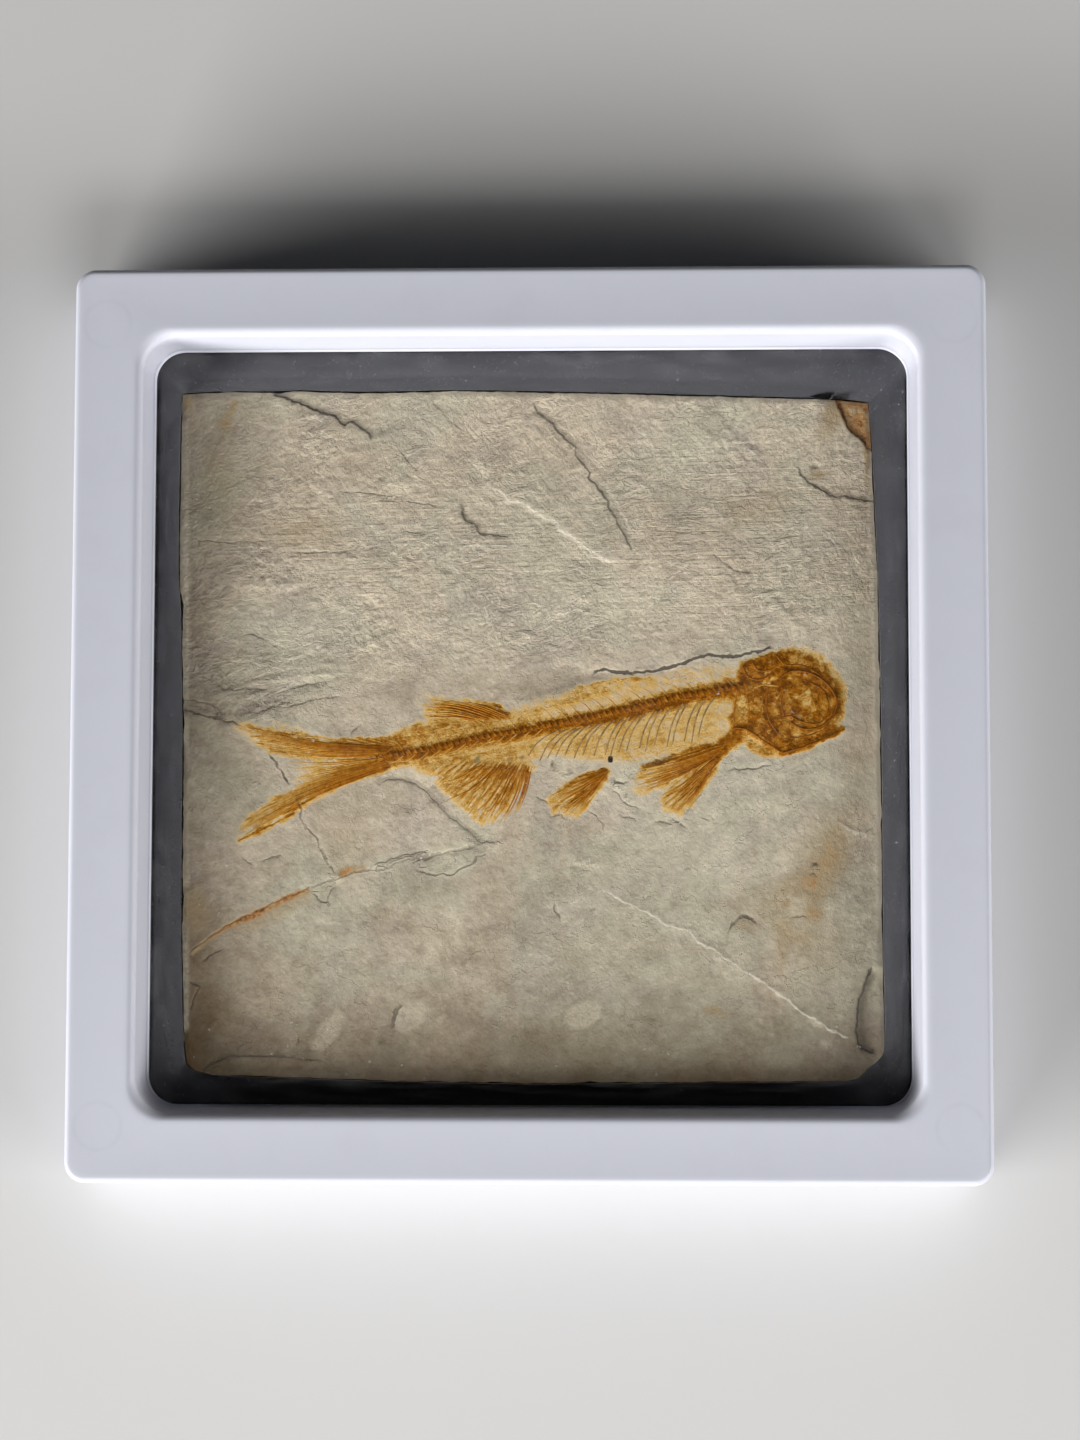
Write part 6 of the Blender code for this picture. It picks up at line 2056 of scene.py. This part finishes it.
    def build(self, material: bpy.types.Material) -> bpy.types.Object:
        """Build the slab and stand it in for its CAD node.

        Args:
            material: The shale's finish.

        Returns:
            The slab.
        """
        grid = self.grid()
        rows, columns = grid.shape[:2]
        x, y = grid[:, :, 0].ravel(), grid[:, :, 1].ravel()
        z = self.height(x, y) - self.worn(x, y)
        face = np.column_stack((x, y, z))
        numbers = np.arange(rows * columns).reshape(rows, columns)
        loop = np.concatenate((numbers[0], numbers[1:, -1], numbers[-1, -2::-1],
                               numbers[-2:0:-1, 0]))
        quads = np.stack((numbers[:-1, :-1], numbers[:-1, 1:], numbers[1:, 1:],
                          numbers[1:, :-1]), axis=-1).reshape(-1, 4)
        rings = self.sides(face[loop])
        points, faces = [face], quads.tolist()
        upper, count = loop, len(loop)
        for index, ring in enumerate(rings[1:]):
            lower = rows * columns + index * count + np.arange(count)
            points.append(ring)
            faces.extend(np.column_stack((upper, lower, np.roll(lower, -1),
                                          np.roll(upper, -1))).tolist())
            upper = lower
        faces.append(upper[::-1].tolist())
        item = add_mesh("shale_slab", np.vstack(points), faces, material)
        item.data.set_sharp_from_angle(angle=math.radians(50.0))
        self.dress(item)
        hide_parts("slab")
        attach(item, ROOT)
        return item

    def dress(self, item: bpy.types.Object) -> None:
        """Keep the marks' fields on the slab's mesh for its finish."""
        spots = np.zeros(len(item.data.vertices) * 3)
        item.data.vertices.foreach_get("co", spots)
        x, y, z = spots.reshape(-1, 3).T / MM
        on_face = smoothstep(11.0, 11.5, z)
        # the kept tone and lift hold painted shade and light; the pale and dirt fields also hold painted
        # highlights and shadows
        fields = {**self.colours.fields(x, y), **self.surface.line_fields(x, y),
                  **self.fish.fields(x, y), **self.surface.textures(x, y),
                  "lift": self.surface.cavity_shade(x, y)}
        for name, values in fields.items():
            if name in ("stain", "moss", "black", "crack_shown", "vein_shown", "lift"):
                values = values * on_face
            store(item, name, values)


# ================================================================ bones
@dataclass(frozen=True)
class Rod:
    """One thin bone: its path, half width at its start and end, and its tone."""

    path: Path
    start: float
    stop: float
    tone: float
    fade: float = 0.0


class GrowthTree:
    """A Geometry Nodes tree that takes a drawing and named inputs, and gives finished bone."""

    INPUTS: dict[str, str] = {}

    def __init__(self, name: str) -> None:
        """Build the tree.

        Args:
            name: The tree's name.
        """
        self.tree = bpy.data.node_groups.new(name, "GeometryNodeTree")
        face = self.tree.interface
        face.new_socket("Geometry", in_out="INPUT", socket_type="NodeSocketGeometry")
        self.sockets = {label: face.new_socket(label, in_out="INPUT", socket_type="NodeSocket" + kind)
                        for label, kind in self.INPUTS.items()}
        face.new_socket("Geometry", in_out="OUTPUT", socket_type="NodeSocketGeometry")
        self.wire()

    def wire(self) -> None:
        """Link the nodes."""
        raise NotImplementedError


class RodTree(GrowthTree):
    """Geometry Nodes that turn drawn edges into flattened rods half sunk in the stone."""

    INPUTS = {"Half Width": "Float", "Flatness": "Float", "Step": "Float", "Finish": "Material"}

    def wire(self) -> None:
        """Link the nodes."""
        graph = Graph(self.tree)
        given = graph.add("NodeGroupInput").outputs
        curve = graph.add("GeometryNodeMeshToCurve", {"Mesh": given["Geometry"]})
        even = graph.add("GeometryNodeResampleCurve", {"Curve": curve.outputs[0],
                                                       "Length": given["Step"]}, mode="LENGTH")
        upright = graph.add("GeometryNodeSetCurveNormal", {"Curve": even.outputs[0]},
                            mode="Z_UP")
        width = graph.add("GeometryNodeInputNamedAttribute", {"Name": "thickness"},
                          data_type="FLOAT")
        circle = graph.add("GeometryNodeCurvePrimitiveCircle", {"Resolution": 6,
                                                                "Radius": given["Half Width"]})
        flat = graph.add("ShaderNodeCombineXYZ", {"X": 1.0, "Y": given["Flatness"], "Z": 1.0})
        section = graph.add("GeometryNodeTransform", {"Geometry": circle.outputs["Curve"],
                                                      "Scale": flat.outputs[0]})
        swept = graph.add("GeometryNodeCurveToMesh", {"Curve": upright.outputs[0],
                                                      "Profile Curve": section.outputs[0],
                                                      "Scale": width.outputs["Attribute"],
                                                      "Fill Caps": True})
        real = graph.add("GeometryNodeRealizeInstances", {"Geometry": swept.outputs[0]})
        smooth = graph.add("GeometryNodeSetShadeSmooth", {"Geometry": real.outputs[0]})
        done = graph.add("GeometryNodeSetMaterial", {"Geometry": smooth.outputs[0],
                                                     "Material": given["Finish"]})
        graph.join(done.outputs[0], graph.add("NodeGroupOutput").inputs[0])


class BeadTree(GrowthTree):
    """Geometry Nodes that string one vertebra after another along a line."""

    INPUTS = {"Bead": "Object", "Spacing": "Float", "Lean": "Float", "Seed": "Int",
              "Finish": "Material"}

    @staticmethod
    def random(graph: Graph, low: float, high: float, seed: object) -> bpy.types.NodeSocket:
        """Return a seeded random number for each bead."""
        node = graph.add("FunctionNodeRandomValue", {"Seed": seed}, data_type="FLOAT")
        node.inputs[2].default_value = low
        node.inputs[3].default_value = high
        return node.outputs[1]

    def wire(self) -> None:
        """Link the nodes."""
        graph = Graph(self.tree)
        given = graph.add("NodeGroupInput").outputs
        curve = graph.add("GeometryNodeMeshToCurve", {"Mesh": given["Geometry"]})
        spots = graph.add("GeometryNodeCurveToPoints", {"Curve": curve.outputs[0],
                                                        "Length": given["Spacing"]},
                          mode="LENGTH")
        facing = graph.add("FunctionNodeAlignRotationToVector",
                           {"Vector": spots.outputs["Tangent"]}, axis="X", pivot_axis="Z")
        jitter = self.random(graph, -0.16, 0.16, given["Seed"])
        lean = graph.add("ShaderNodeMath", {0: jitter, 1: given["Lean"]}, operation="ADD")
        turn = graph.add("ShaderNodeCombineXYZ", {"Z": lean.outputs[0]})
        turned = graph.add("FunctionNodeRotateRotation",
                           {"Rotation": facing.outputs[0], "Rotate By": turn.outputs[0]},
                           rotation_space="LOCAL")
        size = graph.add("GeometryNodeInputNamedAttribute", {"Name": "thickness"},
                         data_type="FLOAT")
        vary = graph.add("ShaderNodeMath", {0: size.outputs["Attribute"],
                                            1: self.random(graph, 0.86, 1.12, given["Seed"])},
                         operation="MULTIPLY")
        bead = graph.add("GeometryNodeObjectInfo", {"Object": given["Bead"]})
        placed = graph.add("GeometryNodeInstanceOnPoints",
                           {"Points": spots.outputs["Points"], "Rotation": turned.outputs[0],
                            "Instance": bead.outputs["Geometry"], "Scale": vary.outputs[0]})
        tone = graph.add("GeometryNodeStoreNamedAttribute",
                         {"Geometry": placed.outputs[0], "Name": "bone_tone",
                          "Value": self.random(graph, 0.78, 0.94, 5)},
                         data_type="FLOAT", domain="INSTANCE")
        real = graph.add("GeometryNodeRealizeInstances", {"Geometry": tone.outputs[0]})
        done = graph.add("GeometryNodeSetMaterial", {"Geometry": real.outputs[0],
                                                     "Material": given["Finish"]})
        graph.join(done.outputs[0], graph.add("NodeGroupOutput").inputs[0])


@dataclass
class Skeleton:
    """The fish's bones as separate low relief, each half sunk in the slab's face."""

    slab: ShaleSlab
    spacing: float = 1.22
    lean: float = 0.35
    bead_half: float = 0.78
    bead_long: float = 0.50
    bead_high: float = 0.15
    seed: int = 14
    rod_step: float = 0.5

    def drawn(self, name: str, rods: Sequence[Rod], lift: float,
              material: bpy.types.Material) -> bpy.types.Object:
        """Draw rods as bare edges on the stone, with their thickness and tone kept.

        Args:
            name: The piece's name.
            rods: The bones.
            lift: How far their middles lie above the stone.
            material: Their finish.

        Returns:
            A mesh of edges.
        """
        places, edges, widths, tones = [], [], [], []
        for rod in rods:
            share = np.linspace(0.0, 1.0, len(rod.path))
            first = len(places)
            places += list(rod.path)
            edges += [(first + step, first + step + 1) for step in range(len(rod.path) - 1)]
            widths += list(rod.start + (rod.stop - rod.start) * share)
            tones += list(rod.tone * (1.0 - rod.fade * share))
        x, y = np.array(places).T
        points = np.column_stack((x, y, self.slab.height(x, y) + lift))
        mesh = bpy.data.meshes.new(name)
        mesh.from_pydata((points * MM).tolist(), edges, [])
        item = bpy.data.objects.new(name, mesh)
        bpy.context.scene.collection.objects.link(item)
        mesh.materials.append(material)
        store(item, "thickness", np.array(widths))
        store(item, "bone_tone", np.array(tones))
        return item

    @staticmethod
    def grown(item: bpy.types.Object, tree: GrowthTree,
              values: dict[str, object]) -> bpy.types.Object:
        """Grow an edge drawing through a tree and keep the result as a plain mesh.

        Args:
            item: The drawing.
            tree: The tree that grows it.
            values: The tree's inputs by name.

        Returns:
            The same object with its new mesh.
        """
        modifier = item.modifiers.new("grow", "NODES")
        modifier.node_group = tree.tree
        for label, value in values.items():
            modifier[tree.sockets[label].identifier] = value
        bpy.context.view_layer.update()
        ready = item.evaluated_get(bpy.context.evaluated_depsgraph_get())
        mesh = bpy.data.meshes.new_from_object(ready)
        item.modifiers.remove(modifier)
        old, item.data = item.data, mesh
        bpy.data.meshes.remove(old)
        mesh.name = item.name
        face_outwards(item)
        return item

    @staticmethod
    def settled(item: bpy.types.Object) -> bpy.types.Object:
        """Join a finished piece of bone to the part and return it."""
        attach(item, ROOT)
        return item

    def rods(self, name: str, rods: Sequence[Rod], tree: RodTree, flatness: float, lift: float,
             material: bpy.types.Material) -> bpy.types.Object:
        """Build one piece made of rods.

        Args:
            name: The piece's name.
            rods: Its bones.
            tree: The rods' tree.
            flatness: Height of a rod for each unit of its width.
            lift: How far the rods' middles lie above the stone.
            material: Their finish.

        Returns:
            The piece.
        """
        item = self.drawn(name, rods, lift, material)
        values = {"Half Width": MM, "Flatness": flatness, "Step": self.rod_step * MM,
                  "Finish": material}
        return self.settled(self.grown(item, tree, values))

    def vertebra(self) -> bpy.types.Object:
        """Return one hourglass vertebra, its length along X."""
        stations = ((-1.0, 0.92), (-0.86, 1.0), (-0.45, 0.70), (0.0, 0.56), (0.45, 0.70),
                    (0.86, 1.0), (1.0, 0.92))
        angles = np.linspace(0.0, 2.0 * math.pi, 8, endpoint=False)
        rings = [np.column_stack((np.full(8, along * self.bead_long),
                                  self.bead_half * width * np.cos(angles),
                                  self.bead_high * width * np.sin(angles)))
                 for along, width in stations]
        points, faces = loft(rings, closed=False)
        item = add_mesh("vertebra_pattern", points, faces, bpy.data.materials["fossil_bone"])
        face_outwards(item, 50.0)
        return item

    def backbone(self, material: bpy.types.Material) -> bpy.types.Object:
        """Build the string of vertebrae, smaller towards the tail."""
        path = rounded(self.slab.fish.spine, 4)
        item = self.drawn("fish_backbone", [Rod(path, 1.05, 0.82, 0.8)], -0.01, material)
        bead = self.vertebra()
        values = {"Bead": bead, "Spacing": self.spacing * MM, "Lean": self.lean,
                  "Seed": self.seed, "Finish": material}
        self.grown(item, BeadTree("vertebra_string"), values)
        bpy.data.objects.remove(bead, do_unlink=True)
        return self.settled(item)

    def fin_rods(self) -> list[Rod]:
        """Return every fin ray, each forked towards its tip."""
        chance = np.random.default_rng(self.seed)
        rods = []
        for fan in self.slab.fish.fans:
            for index in range(fan.rays):
                share = (index + 0.5) / fan.rays + chance.uniform(-0.18, 0.18) / fan.rays
                path = fan.ray(share)
                fork = max(2, int(fan.split_from * len(path)))
                tone = fan.tone * chance.uniform(0.8, 1.12)
                width = fan.half_width * chance.uniform(0.75, 1.25)
                rods.append(Rod(path[:fork + 1], width, width * 0.85, tone, 0.12))
                spread = 0.32 / fan.rays
                for side in (-1.0, 1.0):
                    other = fan.ray(share + side * spread)
                    reach = len(path) - int(chance.integers(0, 3))
                    blend = np.linspace(0.0, 1.0, len(path) - fork)
                    tip = [tuple(np.array(path[fork + step])
                                 + (np.array(other[fork + step]) - path[fork + step]) * mix)
                           for step, mix in enumerate(blend)]
                    tip = tip[:max(2, reach - fork)]
                    rods.append(Rod(tuple(tip), width * 0.7, width * 0.35, tone * 0.86, 0.45))
        return rods

    def rib_rods(self) -> list[Rod]:
        """Return the ribs, thin and tapering."""
        return [Rod(rounded(path, 4), 0.19, 0.11, 0.5) for path in self.slab.fish.ribs()]

    def spine_rods(self) -> list[Rod]:
        """Return the faint spines that stand over and under the backbone."""
        chance = np.random.default_rng(self.seed + 1)
        line = rounded(self.slab.fish.spine, 4)
        rods = []
        for index in range(2, len(line) - 3, 2):
            x, y = line[index]
            long = 2.2 + 1.6 * math.sin(math.pi * index / len(line)) + chance.uniform(-0.4, 0.4)
            rods.append(Rod(rounded(((x, y + 0.6), (x - 0.4 * long, y + 0.7 + 0.45 * long),
                                     (x - 0.95 * long, y + 0.6 + 0.75 * long)), 3),
                            0.12, 0.06, 0.60, 0.5))
            if x < 4.0:
                rods.append(Rod(rounded(((x, y - 0.6), (x - 0.5 * long, y - 0.6 - 0.4 * long),
                                         (x - 1.0 * long, y - 0.5 - 0.6 * long)), 3),
                                0.12, 0.06, 0.58, 0.5))
        return rods

    def skull_rods(self) -> list[Rod]:
        """Return the raised edges of the skull's plates."""
        fish = self.slab.fish
        return [
            Rod(rounded(fish.outer_ring), 0.24, 0.2, 0.96),
            Rod(rounded(fish.inner_ring), 0.17, 0.13, 0.88),
            Rod(rounded(fish.jaw), 0.26, 0.14, 0.95), Rod(rounded(fish.gill), 0.2, 0.14, 0.92),
            Rod(rounded(((47.2, 7.2), (46.8, 4), (47.3, 0.8), (49, -2))), 0.2, 0.13, 0.9),
            Rod(rounded(((50.2, 6.8), (49.7, 4), (50.4, 1))), 0.15, 0.1, 0.85),
            Rod(rounded(((41.2, 8), (40.8, 4.5), (40.4, 1.5), (40.3, -1))), 0.18, 0.13, 0.75),
            Rod(rounded(((42.2, 11.2), (43.2, 9.2), (45.6, 8.6), (47.8, 9.8))), 0.2, 0.14, 0.95),
            Rod(rounded(((44, 12.2), (45.4, 10.4), (48.2, 10.8), (49.8, 12.4))), 0.17, 0.12, 0.9),
            Rod(rounded(((50, 1.2), (52, 1.5), (53.6, 2.2))), 0.16, 0.1, 0.95),
            Rod(rounded(((51.5, -2.9), (54.5, -2.6), (57.8, -1.4), (60, -0.2))), 0.18, 0.12, 0.9),
            Rod(rounded(((44.4, 7), (46.4, 7.6), (49, 7.3))), 0.14, 0.1, 0.42),
            Rod(rounded(((43, 5.4), (43.4, 2.6), (43, -0.2))), 0.14, 0.1, 0.7),
            Rod(rounded(((48.6, 13.6), (50.6, 11.6), (54, 11.4), (57.6, 9.4))), 0.17, 0.12, 0.86),
        ]


# ================================================================ studio
@dataclass(frozen=True)
class Panel:
    """One soft light panel: its direction in degrees, its size in metres and its power."""

    name: str
    azimuth: float
    rise: float
    size: Point
    power: float


@dataclass
class Studio:
    """Plain pale floor, three soft panels, a low surround and the camera."""

    floor_half: float = 900.0
    panels: tuple[Panel, ...] = (
        Panel("left_panel", -54, 17, (1.6, 0.36), 41),
        Panel("right_panel", 62, 19, (1.3, 0.5), 21),
        Panel("upper_panel", 12, 44, (0.8, 0.4), 6.5),
    )
    panel_reach: float = 1.6
    panel_colour: Colour = (1.0, 0.985, 0.965)
    surround: float = 0.015
    surround_colour: Colour = (0.93, 0.96, 1.0)
    floor_steps: int = 12
    camera_place: tuple[float, float, float] = (0.0251, -0.0534, 0.651)
    camera_turn: tuple[float, float, float] = (4.84, 2.05, 0.10)
    camera_lens: float = 81.125

    def floor(self, material: bpy.types.Material) -> bpy.types.Object:
        """Lay the floor under the frame."""
        line = np.linspace(-self.floor_half, self.floor_half, self.floor_steps + 1)
        x, y = np.meshgrid(line, line)
        points = np.column_stack((x.ravel(), y.ravel(), np.zeros(x.size)))
        numbers = np.arange(x.size).reshape(x.shape)
        faces = np.stack((numbers[:-1, :-1], numbers[:-1, 1:], numbers[1:, 1:], numbers[1:, :-1]),
                         axis=-1).reshape(-1, 4).tolist()
        item = add_mesh("studio_floor", points, faces, material)
        return item

    def light(self, panel: Panel) -> bpy.types.Object:
        """Hang one soft panel so that it faces the display."""
        lamp = bpy.data.lights.new(panel.name, "AREA")
        lamp.shape = "RECTANGLE"
        lamp.size, lamp.size_y = panel.size
        lamp.energy = panel.power
        lamp.color = self.panel_colour
        item = bpy.data.objects.new(panel.name, lamp)
        bpy.context.scene.collection.objects.link(item)
        azimuth, rise = math.radians(panel.azimuth), math.radians(panel.rise)
        item.location = (self.panel_reach * math.sin(azimuth) * math.cos(rise),
                         -self.panel_reach * math.cos(azimuth) * math.cos(rise),
                         self.panel_reach * math.sin(rise))
        item.rotation_euler = (math.pi / 2 - rise, 0.0, azimuth)
        return item

    def surroundings(self) -> None:
        """Light everything evenly and faintly from all round."""
        world = bpy.data.worlds.new("studio_air")
        bpy.context.scene.world = world
        world.use_nodes = True
        background = world.node_tree.nodes["Background"]
        background.inputs["Color"].default_value = (*self.surround_colour, 1.0)
        background.inputs["Strength"].default_value = self.surround

    def camera(self) -> bpy.types.Object:
        """Set up the camera over the display."""
        lens = bpy.data.cameras.new("camera")
        lens.lens = self.camera_lens
        lens.sensor_width = 36.0
        lens.sensor_fit = "AUTO"
        lens.clip_start = 0.01
        item = bpy.data.objects.new("camera", lens)
        item.location = self.camera_place
        item.rotation_euler = [math.radians(turn) for turn in self.camera_turn]
        bpy.context.scene.collection.objects.link(item)
        bpy.context.scene.camera = item
        return item


def report(item: bpy.types.Object) -> None:
    """Log a finished piece's name and its number of faces."""
    LOG.info("%-20s %7d faces", item.name, len(item.data.polygons))


def main() -> None:
    """Build every piece in order."""
    logging.basicConfig(level=logging.INFO, format="%(name)s: %(message)s")
    plastic = MouldedPlastic().build()
    shale, bone, rib = Shale().build(), FossilBone().build(), RibBone().build()
    display = DisplayFrame()
    for shell in Shell:
        report(display.build(shell, plastic))
    slab = ShaleSlab()
    film = StretchedFilm(outline=slab.outline())
    clear = film.build(Film.FRONT, StretchFilm().build())
    clear.visible_shadow = False
    clear.visible_diffuse = False
    report(clear)
    report(film.build(Film.BACK, PaintedShadeFilm().build()))
    report(slab.build(shale))
    skeleton = Skeleton(slab)
    tree = RodTree("bone_rods")
    report(skeleton.backbone(bone))
    report(skeleton.rods("fish_fin_rays", skeleton.fin_rods(), tree, 0.42, 0.0, bone))
    report(skeleton.rods("fish_ribs", skeleton.rib_rods(), tree, 0.36, 0.0, rib))
    report(skeleton.rods("fish_spines", skeleton.spine_rods(), tree, 0.40, -0.01, bone))
    report(skeleton.rods("fish_skull_edges", skeleton.skull_rods(), tree, 0.45, 0.0, bone))
    studio = Studio()
    studio.floor(StudioFloor().build())
    for panel in studio.panels:
        studio.light(panel)
    studio.surroundings()
    studio.camera()
    bpy.context.scene.view_settings.view_transform = "Standard"


if __name__ == "__main__":
    main()
